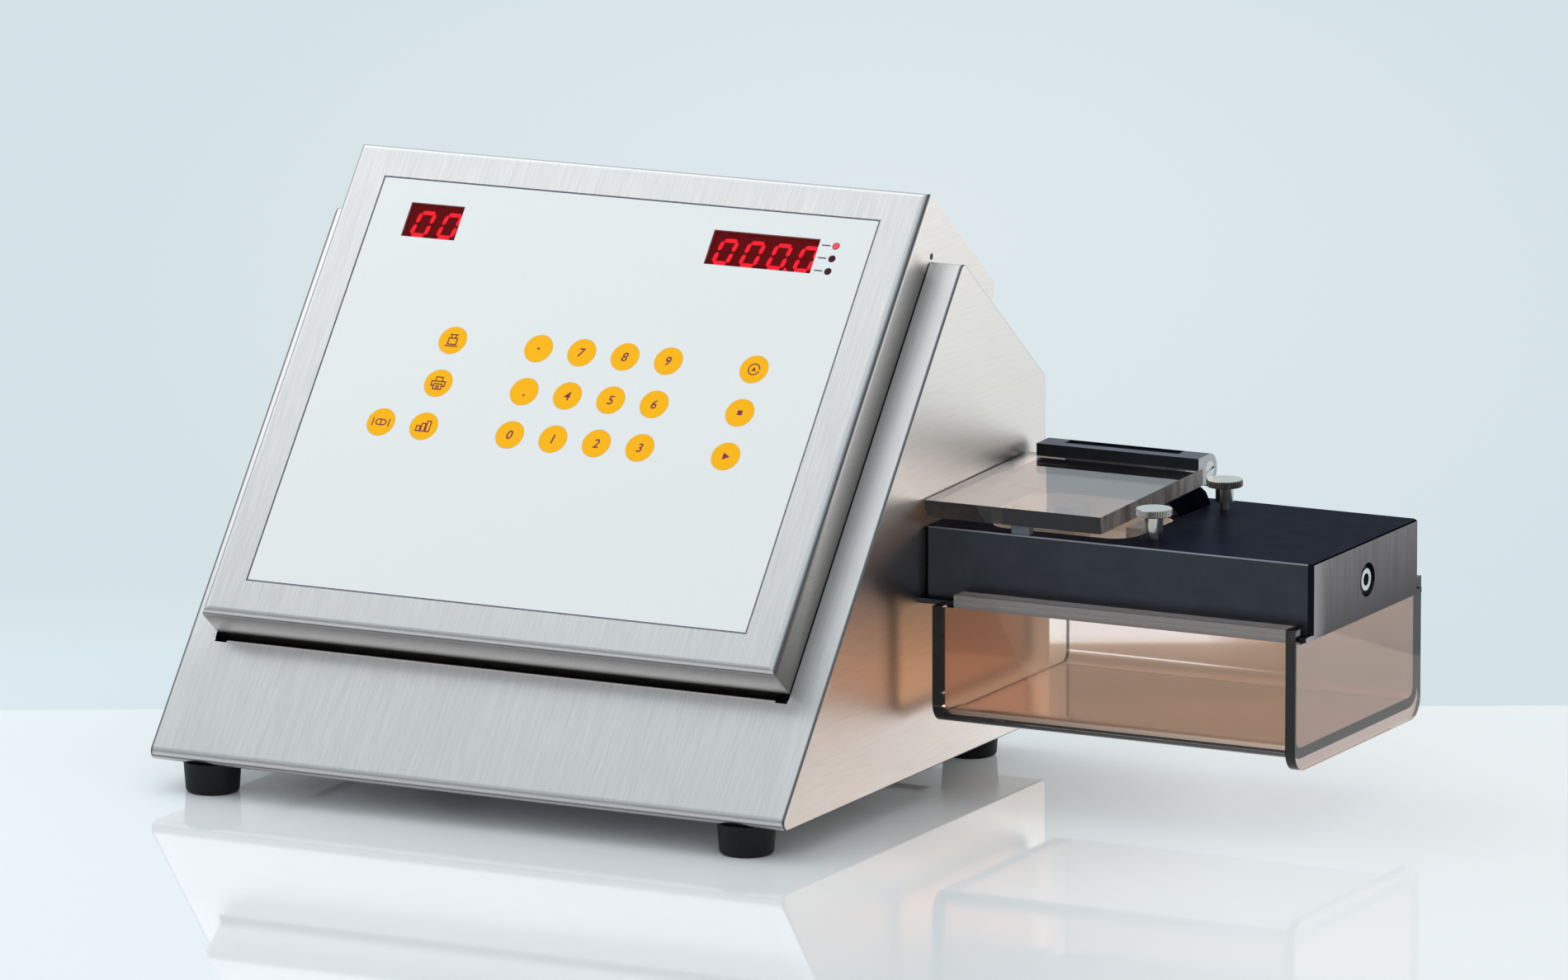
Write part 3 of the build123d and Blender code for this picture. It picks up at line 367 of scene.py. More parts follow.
# Painted shade: a black spot at the ridge where a relief hole would be.
def relief_shade_share(finish, place):
    return finish.below(finish.vector("DISTANCE", place, relief_spot), relief_radius)


print("middle of the slope at x", round(edge_middle, 4))

# %% [markdown]
# The grain of the sheet runs up the slope on the front and along the bench on the sides. It
# is a noise pulled out into streaks, which tones the metal, roughens it and bumps it a
# little. The shader's anisotropy smears reflections across the grain, as real scratches do.
# The side faces are a little glossier, so that they mirror the station beside them.

# %% Brushed stainless sheet
steel_light = linear(218, 214, 213)
steel_dark = linear(203, 199, 198)
# The side faces get a paler, warmer copy of the sheet's tones: painted light.
painted_flank_light = linear(226, 219, 214)
painted_flank_dark = linear(216, 208, 203)
painted_bend_shade = linear(92, 92, 95)
painted_bend_highlight = linear(250, 250, 250)
painted_strip_highlight = linear(243, 239, 238)
painted_joint_shade = linear(96, 92, 88)
painted_relief_shade = linear(10, 10, 10)
painted_bounce_light = linear(170, 169, 168)
bounced_strength = 0.55
fine_share = 0.92
side_facing = 0.7
grain_smear = 0.75
grain_relief = (0.12, 0.04 * MM)
front_roughness = (0.40, 0.36)
side_roughness = (0.34, 0.30)
steel_grains = ((1 / 0.0005, 1 / 0.022, 3.0), (1 / 0.012, 1 / 0.09, 2.0))


def brushed_steel(name, is_box):
    finish = Finish(name, steel_light, metallic=1.0, Anisotropic=grain_smear)
    place = finish.place()
    normal = finish.own_normal()
    side = finish.above(finish.size(finish.parts(normal)["X"]), side_facing)
    fine, broad = [
        finish.mix(side, *[finish.noise(finish.turned(place, angle, (across, lengthwise, across)),
                                        detail=detail) for angle in (-slope, 0.0)], kind="FLOAT")
        for across, lengthwise, detail in steel_grains]
    streak = finish.math("ADD", finish.product(fine, fine_share),
                         finish.product(broad, 1 - fine_share))
    tone = finish.spread(streak, 0.0, 1.0)
    sheet = finish.mix(side, finish.mix(tone, steel_dark, steel_light),
                       finish.mix(tone, painted_flank_dark, painted_flank_light))
    bend_highlight_share, bend_shade_share = painted_bend_shares(finish, normal)
    # painted highlight and painted shade on the bends
    sheet = finish.mix(bend_highlight_share, sheet, painted_bend_highlight)
    if is_box:
        # painted bounce light: the box's lower side glows
        finish.shader.inputs["Emission Color"].default_value = painted_bounce_light
        bounce = finish.product(painted_bounce_share(finish, place, normal), bounced_strength)
        finish.put("Emission Strength", bounce)
        # painted shade on the box's sides near the slope and low down
        sheet = finish.mix(joint_shade_share(finish, place, side), sheet, painted_joint_shade)
        # painted shade: a black spot at the ridge
        sheet = finish.mix(relief_shade_share(finish, place), sheet, painted_relief_shade)
    else:
        # painted light on the slope: a pale strip beside the box, a dark line of shade at the
        # side edge
        painted_pale_share, shade_line_share = painted_edge_shares(finish, place, normal)
        sheet = finish.mix(shade_line_share, finish.mix(painted_pale_share, sheet, painted_strip_highlight), painted_bend_shade)
    finish.colour(finish.mix(bend_shade_share, sheet, painted_bend_shade))
    finish.roughness(finish.mix(side, finish.spread(streak, *front_roughness),
                                finish.spread(streak, *side_roughness), kind="FLOAT"))
    finish.bump(fine, *grain_relief)
    finish.put("Tangent", finish.mix(side, (1, 0, 0), (0, 0, 1), kind="VECTOR"))
    return finish


dress(brushed_steel("brushed_stainless_sheet", is_box=False),
      "housing_shell", "control_box_cover", "base_plate", "rear_panel")
dress(brushed_steel("brushed_stainless_box", is_box=True), "control_box_shell")
print("sheet finish on 5 nodes")

# %% [markdown]
# Small metal pieces have a turned or ground surface. One recipe serves them all: a metal
# whose roughness and height follow a fine noise. The thumbscrews are turned on a lathe, so
# their noise is read by the distance from the screw's axis, which draws rings. The cuts
# between the teeth of their rims get painted shade, a dark tone that goes round with the angle.

# %% Turned, ground and milled metal
fine_grain = 1 / 0.0004
fine_relief = (0.1, 0.03 * MM)
knurl_teeth = 64
knurl_inside = 7.8 * MM
knurl_wave = (-0.2, 0.6)
knurl_shade = linear(96, 90, 84)
nickel = linear(214, 210, 204)


def knurl_share(finish, arm, radius):
    """Painted shade in the cuts between the teeth, on the rim's upright face."""
    arm_parts = finish.parts(arm)
    angle = finish.math("ARCTAN2", arm_parts["Y"], arm_parts["X"])
    wave = finish.math("COSINE", finish.product(angle, knurl_teeth))
    tilt = finish.size(finish.parts(finish.own_normal())["Z"])
    return finish.product(finish.above(radius, knurl_inside),
                          finish.band(wave, *knurl_wave, 1.0, 0.0), finish.below(tilt, halfway))


def machined_metal(name, colour, roughness, stretch=(1, 1, 1), metallic=1.0, axis=None):
    finish = Finish(name, colour, metallic=metallic, roughness=roughness)
    place = finish.place()
    if axis is not None:
        arm = finish.vector("MULTIPLY", finish.vector("SUBTRACT", place, axis), (1, 1, 0))
        radius = finish.vector("LENGTH", arm)
        rings = finish.node("ShaderNodeCombineXYZ")
        finish.link(radius, rings.inputs["X"])
        place = rings.outputs[0]
    grain = finish.noise(finish.turned(place, 0.0, stretch), scale=fine_grain)
    finish.roughness(finish.spread(grain, roughness * 0.8, roughness * 1.25))
    tone = finish.mix(finish.spread(grain, 0.0, 1.0), dimmed(colour, 0.9), colour)
    if axis is not None:
        tone = finish.mix(knurl_share(finish, arm, radius), tone, knurl_shade)
    finish.colour(tone)
    finish.bump(grain, *fine_relief)
    return finish


def node_middle(name):
    low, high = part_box(name)
    return (Vector(low) + Vector(high)) / 2


for knob in ("near_thumbscrew", "far_thumbscrew"):
    dress(machined_metal(knob + "_nickel", nickel, 0.22, axis=node_middle(knob)), knob)
dress(machined_metal("bright_steel", linear(222, 221, 218), 0.2),
      "hinge_pin", "end_bush", "case_screws", "station_bolts")
dress(machined_metal("ground_steel", linear(200, 200, 200), 0.3, stretch=(0.1, 1, 1)),
      "fixed_jaw", "moving_jaw", "guide_rods", "lead_screw")
dress(machined_metal("milled_aluminium", linear(205, 206, 208), 0.4),
      "load_cell", "motor_plate", "wall_plate", "shaft_coupling", "jaw_carriage")
dress(machined_metal("blasted_tray_steel", linear(238, 228, 219), 0.5, metallic=0.2),
      "chamber_tray")
dress(machined_metal("folded_supply_case", linear(196, 198, 200), 0.45), "power_supply")
print("machined metal dressed")

# %% [markdown]
# The station is machined from a solid bar and anodised black. Up close such a surface is a
# soft satin with the faintest cutter marks along the bar. Its sloping bevels carry a painted
# highlight, and its upright corner bevels painted shade. The end face is milled across, with
# upright marks, and is painted paler towards its top, with a painted sheen towards its front.
# The hinge bar has a painted highlight on its top, painted shade where its slot is, and a
# bare end.

# %% Black anodised aluminium
anodised_black = linear(64, 67, 74)
anodised_worn = linear(74, 77, 84)
anodised_edge = linear(148, 149, 155)
painted_rim_highlight = linear(116, 118, 126)
painted_corner_shade = linear(22, 24, 30)
bar_stretch = (60, 1400, 1400)
bar_roughness = (0.32, 0.42)
cloud_scale = 90.0
cloud_span = (0.35, 0.75)
cloud_most = 0.6
end_facing, top_facing, bevel_facing = 0.9, 0.95, 0.3
end_stretch = (60, 420, 25)
cutter_span = (0.35, 0.65)
cutter_most = 0.45
sheen_most = 0.8
end_shade_and_marks = linear(112, 108, 108)
end_lit_top = linear(154, 148, 147)
painted_end_sheen = linear(190, 184, 186)
end_rise = (room_place(0, 0, 97.0).z, room_place(0, 0, 130.0).z)
end_sheen = (room_place(0, 144.1, 0).y, room_place(0, 160.1, 0).y)
bar_black = linear(66, 69, 77)
bar_worn = linear(78, 81, 89)
# painted highlight on the hinge bar's top, and painted shade where its slot is
painted_bar_top_highlight = linear(158, 160, 168)
bar_bare = linear(198, 196, 194)
bar_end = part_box("hinge_bar")[1][0] - 0.1 * MM
painted_slot_shade = linear(40, 41, 46)
slot_shade_left = room_place(183.5, 0, 0).x
slot_shade_right = room_place(242.3, 0, 0).x
slot_shade_front = room_place(0, 251.9, 0).y


def milled_end(finish, place, spot):
    # painted light: paler towards the top, with a painted sheen towards the front; the cutter
    # marks are real
    tone = finish.mix(finish.band(spot["Z"], *end_rise, 0.0, 1.0), end_shade_and_marks, end_lit_top)
    marks = finish.noise(finish.turned(place, 0.0, end_stretch))
    tone = finish.mix(finish.band(marks, *cutter_span, 0.0, cutter_most), tone, end_shade_and_marks)
    return finish.mix(finish.band(spot["Y"], *end_sheen, sheen_most, 0.0), tone, painted_end_sheen)


def painted_bar_top(finish, spot):
    # painted shade where the slot is, on a painted lighter top
    slot_shade = finish.product(finish.above(spot["X"], slot_shade_left),
                            finish.below(spot["X"], slot_shade_right),
                            finish.above(spot["Y"], slot_shade_front))
    return finish.mix(slot_shade, painted_bar_top_highlight, painted_slot_shade)


def anodised(name, black, worn_black, is_bar=False):
    finish = Finish(name, black, metallic=1.0, Specular_Tint=anodised_edge)
    place = finish.place()
    spot = finish.parts(place)
    facing = finish.parts(finish.own_normal())
    cloud = finish.noise(place, scale=cloud_scale, detail=3.0)
    tone = finish.mix(finish.band(cloud, *cloud_span, 0.0, cloud_most), black, worn_black)
    on_end = finish.above(facing["X"], end_facing)
    tone = finish.mix(on_end, tone, milled_end(finish, place, spot))
    if is_bar:
        tone = finish.mix(finish.above(facing["Z"], top_facing), tone, painted_bar_top(finish, spot))
    # painted highlight on the sloping bevels
    rim = finish.product(finish.above(facing["Z"], bevel_facing),
                         finish.below(facing["Z"], top_facing))
    tone = finish.mix(rim, tone, painted_rim_highlight)
    # painted shade on the upright corner bevels
    corner = finish.product(finish.above(facing["X"], bevel_facing),
                            finish.below(facing["X"], end_facing))
    tone = finish.mix(corner, tone, painted_corner_shade)
    if is_bar:
        tone = finish.mix(finish.above(spot["X"], bar_end), tone, bar_bare)
    finish.colour(tone)
    marks = finish.noise(finish.turned(place, 0.0, bar_stretch))
    finish.roughness(finish.spread(marks, *bar_roughness))
    finish.bump(marks, *fine_relief)
    return finish


dress(anodised("station_anodising", anodised_black, anodised_worn),
      "station_block", "drawer_ledge", "hinge_base")
dress(anodised("hinge_bar_anodising", bar_black, bar_worn, is_bar=True), "hinge_bar")
print("station dressed, bare bar end beyond x", round(bar_end, 4))

# %% [markdown]
# The flap and the drawer are smoky acrylic. A clear plastic is a surface that lets light
# through and bends it, with the tint in its base colour. Looking into a cut edge, the eye
# meets a long way through the plastic, so edges and the outside of the drawer's bottom bends
# go almost black. The drawer's inner end is thin and pale, and the flap's right end is a
# frosted saw cut. Lamp light is let through by a separate shader, because clear plastic
# would otherwise throw the shadow of a solid.

# %% Smoky acrylic
smoke_drawer = linear(216, 190, 172)
smoke_panel = linear(190, 167, 157)
smoke_rail = linear(236, 230, 230)
smoke_flap = linear(226, 211, 206)
smoke_edge = linear(38, 30, 28)
smoke_glow = linear(252, 230, 205)
smoke_thin = linear(246, 226, 200)
sawn_dark = linear(62, 53, 49)
sawn_pale = linear(132, 123, 118)
acrylic_ior = 1.49
haze_scale = 40.0
haze_most = 0.25
scratch_stretch = (900, 60, 900)
scratch_span = (0.35, 0.7)
scratch_roughness = (0.015, 0.05)
bent_facing = (-0.99, -0.7)
rail_through = 0.85
saw_stretch = (1, 160, 40)
saw_span = (0.35, 0.65)
sawn_through = 0.15
sawn_roughness = 0.45
thin_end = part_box("drawer_tray")[0][0] + 5.0 * MM
panel_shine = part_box("drawer_front_panel")[1][2] - 6.0 * MM


def let_lamps_through(finish):
    passed = finish.node("ShaderNodeBsdfTransparent")
    passed.inputs["Color"].default_value = smoke_glow
    finish.surface(finish.ray("Shadow"), finish.shader.outputs[0], passed.outputs[0])


def smoky_acrylic(name, clear, edge_mask, through=1.0, thin_below=None):
    finish = Finish(name, clear, IOR=acrylic_ior, Transmission_Weight=through)
    place = finish.place()
    spot = finish.parts(place)
    mask = edge_mask(finish, spot, finish.parts(finish.own_normal()))
    haze = finish.noise(place, scale=haze_scale)
    tint = finish.mix(finish.spread(haze, 0.0, haze_most), clear, dimmed(clear, 0.9))
    if thin_below is not None:
        tint = finish.mix(finish.below(spot["X"], thin_below), tint, smoke_thin)
    finish.colour(finish.mix(mask, tint, smoke_edge))
    scratch = finish.noise(finish.turned(place, 0.0, scratch_stretch), detail=1.0)
    finish.roughness(finish.band(scratch, *scratch_span, *scratch_roughness))
    let_lamps_through(finish)
    return finish


def tray_edges(finish, spot, facing):
    """The inner end's rim is dark all round, and so is the outside of the bottom bends."""
    inner = finish.below(spot["X"], thin_end)
    sideways = finish.below(finish.size(facing["X"]), halfway)
    bent = finish.product(finish.above(facing["Z"], bent_facing[0]),
                          finish.below(facing["Z"], bent_facing[1]))
    return finish.math("MAXIMUM", finish.product(inner, sideways), bent)


def panel_edges(finish, spot, facing):
    """The front panel's edges are dark but for the upper ends, which light shines through."""
    return finish.product(finish.below(spot["Z"], panel_shine),
                          finish.below(finish.size(facing["X"]), halfway))


def rail_edges(finish, spot, facing):
    return finish.above(finish.size(facing["X"]), halfway)


def flap_edges(finish, spot, facing):
    """Front, left and rear edges are dark. The right end is sawn."""
    return finish.product(finish.below(finish.size(facing["Z"]), halfway),
                          finish.below(facing["X"], halfway))


def saw_right_end(finish):
    sawn = finish.above(finish.parts(finish.own_normal())["X"], halfway)
    marks = finish.noise(finish.turned(finish.place(), 0.0, saw_stretch), detail=3.0)
    tone = finish.mix(finish.band(marks, *saw_span, 0.0, 1.0), sawn_dark, sawn_pale)
    finish.colour(finish.mix(sawn, finish.fed("Base Color"), tone))
    finish.put("Transmission Weight", finish.band(sawn, 0.0, 1.0, 1.0, sawn_through))
    frosted = finish.product(sawn, sawn_roughness)
    finish.roughness(finish.math("MAXIMUM", finish.fed("Roughness"), frosted))
    return finish


dress(smoky_acrylic("smoky_drawer", smoke_drawer, tray_edges, thin_below=thin_end), "drawer_tray")
dress(smoky_acrylic("smoky_front_panel", smoke_panel, panel_edges), "drawer_front_panel")
dress(smoky_acrylic("smoky_rails", smoke_rail, rail_edges, through=rail_through),
      "drawer_rails")
dress(saw_right_end(smoky_acrylic("smoky_flap", smoke_flap, flap_edges)), "flap_plate")
print("acrylic dressed")

# %% [markdown]
# The keypad is a matt printed film on the panel, and the key caps are flat orange discs.
# Both are plastics whose tone drifts very slightly. The other plastics, the rubber feet and
# the circuit boards come from the same recipe with their own colour and grain. The main
# board carries dark parts, and the printer port at its rear is plated.

# %% Plastic, rubber and boards
orange_shade = linear(255, 184, 0)
board_shade = linear(24, 92, 52)
part_shade = linear(40, 41, 44)
port_shade = linear(168, 170, 174)
part_height = 12.4 * MM
speck_strength = 0.08
port_length = 1.7 * MM


def plastic(name, colour, roughness, grain=2 * MM, drift=0.04, height=0.02 * MM, **sockets):
    finish = Finish(name, colour, roughness=roughness, **sockets)
    speck = finish.noise(finish.place(), scale=1 / grain, detail=3.0)
    finish.colour(finish.mix(finish.spread(speck, 0.0, 1.0), colour, dimmed(colour, 1 - drift)))
    finish.roughness(finish.spread(speck, roughness * 0.93, roughness * 1.07))
    finish.bump(speck, speck_strength, height)
    return finish


def populate(finish, name):
    """Puts the tones of a board's mounted parts and of its port over its laminate."""
    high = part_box(name)[1]
    spot = finish.parts(finish.place())
    plated = finish.above(spot["Y"], high[1] - port_length)
    mounted = finish.above(spot["Z"], high[2] - part_height)
    fitted = finish.mix(plated, part_shade, port_shade)
    finish.colour(finish.mix(mounted, finish.fed("Base Color"), fitted))
    return finish


key_names = sorted(name for name in nodes if name.startswith("key_"))
dress(plastic("keypad_film", linear(228, 232, 231), 0.42, grain=1.2 * MM, drift=0.015),
      "keypad_overlay")
dress(plastic("key_orange", orange_shade, 0.55, grain=1.5 * MM, drift=0.02,
              Specular_IOR_Level=0.15), *key_names)
dress(plastic("black_plastic", linear(28, 28, 30), 0.45),
      "keypad_membrane", "mains_inlet", "power_rocker")
dress(plastic("foot_rubber", linear(17, 18, 21), 0.55, grain=0.8 * MM, drift=0.15,
              height=0.06 * MM, Specular_IOR_Level=0.25), "feet")
dress(populate(plastic("board_green", board_shade, 0.4, grain=3 * MM, drift=0.3), "main_board"),
      "main_board")
dress(plastic("motor_case", linear(44, 45, 48), 0.35, grain=1 * MM, drift=0.1), "drive_motor")
dress(plastic("rest_grey", linear(92, 98, 108), 0.5, grain=1 * MM, drift=0.1), "flap_rest")
print("keys", len(key_names))

# %% [markdown]
# The displays are red light-emitting modules behind dark red windows. The module's face is
# a dark, finely dotted mask, and only the lit bars glow. The mask is a grid of small dots,
# made with two waves, and the board behind stays green.

# %% Display modules, windows and lenses
mask_dark = linear(74, 2, 8)
mask_dot = linear(120, 6, 14)
dot_pitch = 0.9 * MM
dot_limit = 0.35
face_low = panel_place(0, 0, 11.4).dot(off_slope)

display_finish = Finish("display_modules", mask_dark, Specular_IOR_Level=0.1)
display_spot = display_finish.parts(display_finish.turned(display_finish.place(), -slope))
waves = [display_finish.math("SINE", display_finish.product(display_spot[axis],
                                                            2 * math.pi / dot_pitch))
         for axis in ("X", "Y")]
dots = display_finish.above(display_finish.product(*waves), dot_limit)
dotted = display_finish.mix(dots, mask_dark, mask_dot)
on_face = display_finish.above(display_spot["Z"], face_low)
display_finish.colour(display_finish.mix(on_face, board_shade, dotted))
dress(display_finish, "display_board")
dress(plastic("window_red", linear(124, 0, 6), 0.2, drift=0.05, Alpha=0.3,
              Specular_IOR_Level=0.06), "display_windows")
dress(plastic("lens_dark", linear(60, 8, 12), 0.3, drift=0.1, Specular_IOR_Level=0.15),
      "unit_lights")
print("displays dressed, face beyond", round(face_low, 4))

# %% [markdown]
# Printing, lit bars and signs are all thin closed plates on the panel. A plate is made from
# loops of (x, s) points, and rides on the body that carries it. A plate that would pass the
# edge of its window is cut off there.

# %% Thin plates on the panel
round_steps = 32


def box_points(left, low, right, high):
    return [(left, low), (right, low), (right, high), (left, high)]


def disc_loop(x, s, radius, steps=round_steps):
    angles = [2 * math.pi * step / steps for step in range(steps)]
    return [(x + radius * math.cos(angle), s + radius * math.sin(angle)) for angle in angles]


def add_piece(name, data, finish, body):
    data.materials.clear()
    data.materials.append(finish.material)
    piece = bpy.data.objects.new(name, data)
    bpy.context.collection.objects.link(piece)
    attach(piece, body)


def plate_from_loops(name, loops, low, high, finish, body, keep=None):
    """Makes closed plates from loops of (x, s) points, and cuts off what lies beyond keep."""
    mesh = bmesh.new()
    for loop in loops:
        lower = [mesh.verts.new(panel_place(x, s, low)) for x, s in loop]
        upper = [mesh.verts.new(panel_place(x, s, high)) for x, s in loop]
        mesh.faces.new(list(reversed(lower)))
        mesh.faces.new(upper)
        for index in range(len(loop)):
            after = (index + 1) % len(loop)
            mesh.faces.new((lower[index], lower[after], upper[after], upper[index]))
    if keep is not None:
        geometry = mesh.verts[:] + mesh.edges[:] + mesh.faces[:]
        cut = bmesh.ops.bisect_plane(mesh, geom=geometry, plane_co=panel_place(keep, 0, 0),
                                     plane_no=(1, 0, 0), clear_outer=True)
        rims = [item for item in cut["geom_cut"] if isinstance(item, bmesh.types.BMEdge)]
        bmesh.ops.holes_fill(mesh, edges=rims)
    bmesh.ops.recalc_face_normals(mesh, faces=mesh.faces)
    data = bpy.data.meshes.new(name)
    mesh.to_mesh(data)
    mesh.free()
    add_piece(name, data, finish, body)


print("a disc has", len(disc_loop(0, 0, 1)), "points")

# %% [markdown]
# Each digit is seven bars, drawn from its height and width and leaned to the right. A zero
# lights the six outer ones. The bars lie between the module's face and its window, and the
# last digit runs on behind the window's edge, where it is cut off.

# %% Lit digits
digit_height = 13.9
digit_width = 9.3
digit_lean = math.tan(math.radians(10.5))
bar_width = 2.0
bar_gap = 0.35
digit_pitch = 14.0
glow_low = 19.22
glow_high = 19.34
number_start, number_low, number_count, number_window_end = -110.8, 273.5, 2, -85.7
hardness_start, hardness_low, hardness_count, hardness_window_end = 48.6, 273.4, 4, 101.0
point_back = 3.8
point_size = 1.4
lit_red = linear(255, 6, 38)


def lit_plastic(name, colour, sparkle, roughness, strength):
    finish = Finish(name, colour, roughness=roughness,
                    Emission_Color=lit_red, Emission_Strength=strength)
    speck = finish.noise(finish.place(), scale=1 / MM)
    finish.colour(finish.mix(finish.spread(speck, 0.0, 1.0), colour, sparkle))
    return finish


def digit_bars(x0, s0):
    """The six outer bars of a zero, leaned to the right, as loops of (x, s) points."""
    half = bar_width / 2
    middle = digit_height / 2
    level = [[(half + bar_gap, s), (bar_width, s - half), (digit_width - bar_width, s - half),
              (digit_width - half - bar_gap, s), (digit_width - bar_width, s + half),
              (bar_width, s + half)]
             for s in (half, digit_height - half)]
    upright = [[(x, low + bar_gap), (x + half, low + half + bar_gap),
                (x + half, high - half - bar_gap), (x, high - bar_gap),
                (x - half, high - half - bar_gap), (x - half, low + half + bar_gap)]
               for x in (half, digit_width - half)
               for low, high in ((half, middle), (middle, digit_height - half))]
    return [[(x0 + x + s * digit_lean, s0 + s) for x, s in loop] for loop in level + upright]


def lit_number(name, start, low, count, window_end):
    loops = [loop for digit in range(count)
             for loop in digit_bars(start + digit * digit_pitch, low)]
    plate_from_loops(name, loops, glow_low, glow_high, glow, "root", keep=window_end)


glow = lit_plastic("lit_bar", linear(255, 10, 34), linear(255, 40, 60), 0.4, 1.5)
lit_number("number_digits_lit", number_start, number_low, number_count, number_window_end)
lit_number("hardness_digits_lit", hardness_start, hardness_low, hardness_count,
           hardness_window_end)
point_left = hardness_start + 3 * digit_pitch - point_back
point_loop = box_points(point_left, hardness_low, point_left + point_size,
                        hardness_low + point_size)
plate_from_loops("decimal_point_lit", [point_loop], glow_low, glow_high, glow, "root")
print("digits lit", number_count + hardness_count)

# %% [markdown]
# Beside the second display, three small lights show the unit in use. The topmost is lit.
# Short dashes lead from the window to the lights, and a thin line runs round the film. All
# that printing is so thin that it reads as ink: it stands a few hundredths of a millimetre
# proud.

# %% Unit dashes, the film's rim and the lit lens
ink_low = 20.58
ink_high = 20.63
light_x = 110.1
light_places = (274.5, 281.15, 287.8)
light_radius = 1.45
lens_low = 20.5
lens_high = 20.66
dash_left = 102.9
dash_right = 107.2
dash_half = 0.325
film_left, film_right, film_low, film_high = -132.4, 128.0, 87.95, 303.05
rim_width = 0.45

print_ink = plastic("printed_blue_grey", linear(66, 72, 92), 0.5)
lit_lens = lit_plastic("lit_lens", linear(255, 20, 50), linear(255, 60, 80), 0.3, 0.35)
dashes = [box_points(dash_left, s - dash_half, dash_right, s + dash_half) for s in light_places]
plate_from_loops("unit_dashes", dashes, ink_low, ink_high, print_ink, "root")
rim_loops = [
    box_points(film_left, film_low, film_right, film_low + rim_width),
    box_points(film_left, film_high - rim_width, film_right, film_high),
    box_points(film_left, film_low + rim_width, film_left + rim_width, film_high - rim_width),
    box_points(film_right - rim_width, film_low + rim_width, film_right, film_high - rim_width)]
plate_from_loops("film_rim", rim_loops, ink_low, ink_high, print_ink, "root")
lens_loop = disc_loop(light_x, light_places[-1], light_radius)
plate_from_loops("lit_unit_lens", [lens_loop], lens_low, lens_high, lit_lens, "root")
print("dashes", len(dashes))

# %% [markdown]
# The marks on the keys are printed in plum. Digits come from Blender's own font, leaned a
# little and brought to one height. The other keys carry plain signs: a tablet between two
# jaws, bars of a chart, a printer, a weight, a cycle, a square and a triangle. Signs are
# drawn as strokes, and a stroke is a strip of even width with mitred corners.

# %% Marks on the keys
digit_mark_height = 4.6
digit_mark_weight = 0.012
digit_mark_lean = 0.17
stroke = 0.6
sharpest_mitre = 0.3
mark_low = 20.6
mark_high = 20.68
mark_ink = plastic("printed_plum", linear(124, 0, 58), 0.5, drift=0.08)


def key_centre(name):
    """The middle of a key on the panel, as (x, s) in drawing millimetres."""
    middle = node_middle(name) / MM - drawing_shift
    return middle.x, (middle - Vector((0, 0, foot_height))).dot(up_slope)


def strip(points, closed=False):
    """The outline of a stroke along points: two offset lines, mitred at the corners."""
    spots = [Vector(point) for point in points]
    sides = []
    for index, spot in enumerate(spots):
        before = spots[index - 1] if closed or index > 0 else None
        after = spots[(index + 1) % len(spots)] if closed or index < len(spots) - 1 else None
        ways = [(end - start).normalized() for start, end in ((before, spot), (spot, after))
                if start is not None and end is not None]
        normals = [Vector((-way.y, way.x)) for way in ways]
        middle = sum(normals, Vector((0, 0))).normalized()
        offset = middle * (stroke / 2 / max(middle.dot(normals[0]), sharpest_mitre))
        sides.append((tuple(spot + offset), tuple(spot - offset)))
    ends = sides[1:] + sides[:1] if closed else sides[1:]
    return [[left, next_left, next_right, right]
            for (left, right), (next_left, next_right) in zip(sides, ends)]


def arc(x, s, radius, start, end, steps=20):
    angles = [math.radians(start + (end - start) * step / steps) for step in range(steps + 1)]
    return [(x + radius * math.cos(angle), s + radius * math.sin(angle)) for angle in angles]


tablet_sign = (strip([(-4.2, -2.1), (-4.2, 2.1)]) + strip([(4.2, -2.1), (4.2, 2.1)])
               + strip(arc(-1.2, 0, 1.4, 90, 270) + arc(1.2, 0, 1.4, -90, 90), closed=True)
               + strip([(0, -1.15), (0, 1.15)]))
chart_sign = [quad for left, high in ((-3.6, 0.0), (-1.1, 1.4), (1.4, 2.8))
              for quad in strip(box_points(left, -2.6, left + 1.9, high), closed=True)]
printer_sign = (strip([(-1.7, 1.0), (-3.5, 1.0), (-3.5, -1.4), (-2.1, -1.4)])
                + strip([(1.7, 1.0), (3.5, 1.0), (3.5, -1.4), (2.1, -1.4)])
                + strip(box_points(-1.7, 1.0, 1.7, 3.2), closed=True)
                + strip(box_points(-2.1, -3.2, 2.1, -0.4), closed=True)
                + strip([(-1.0, -1.5), (1.0, -1.5)]) + strip([(-1.0, -2.4), (1.0, -2.4)]))
weight_sign = (strip([(-3.4, -3.0), (3.4, -3.0)])
               + strip(box_points(-2.2, -2.1, 2.2, 1.1), closed=True)
               + strip([(-2.2, 3.0), (2.2, 3.0)])
               + strip([(-1.1, 1.1), (-1.1, 3.0)]) + strip([(1.1, 1.1), (1.1, 3.0)]))
reset_sign = strip(arc(0, 0, 2.8, 0, 345, steps=32)) + [[(-1.1, -0.9), (1.1, -0.9), (0, 1.3)]]
signs = {
    "key_tablet": tablet_sign, "key_chart": chart_sign, "key_printer": printer_sign,
    "key_weight": weight_sign, "key_reset": reset_sign,
    "key_stop": [box_points(-1.25, -1.25, 1.25, 1.25)],
    "key_start": [[(-1.4, -1.9), (2.1, 0), (-1.4, 1.9)]],
    "key_dot": [disc_loop(0, 0, 0.6)], "key_point": [disc_loop(0.3, -1.9, 0.55)],
}


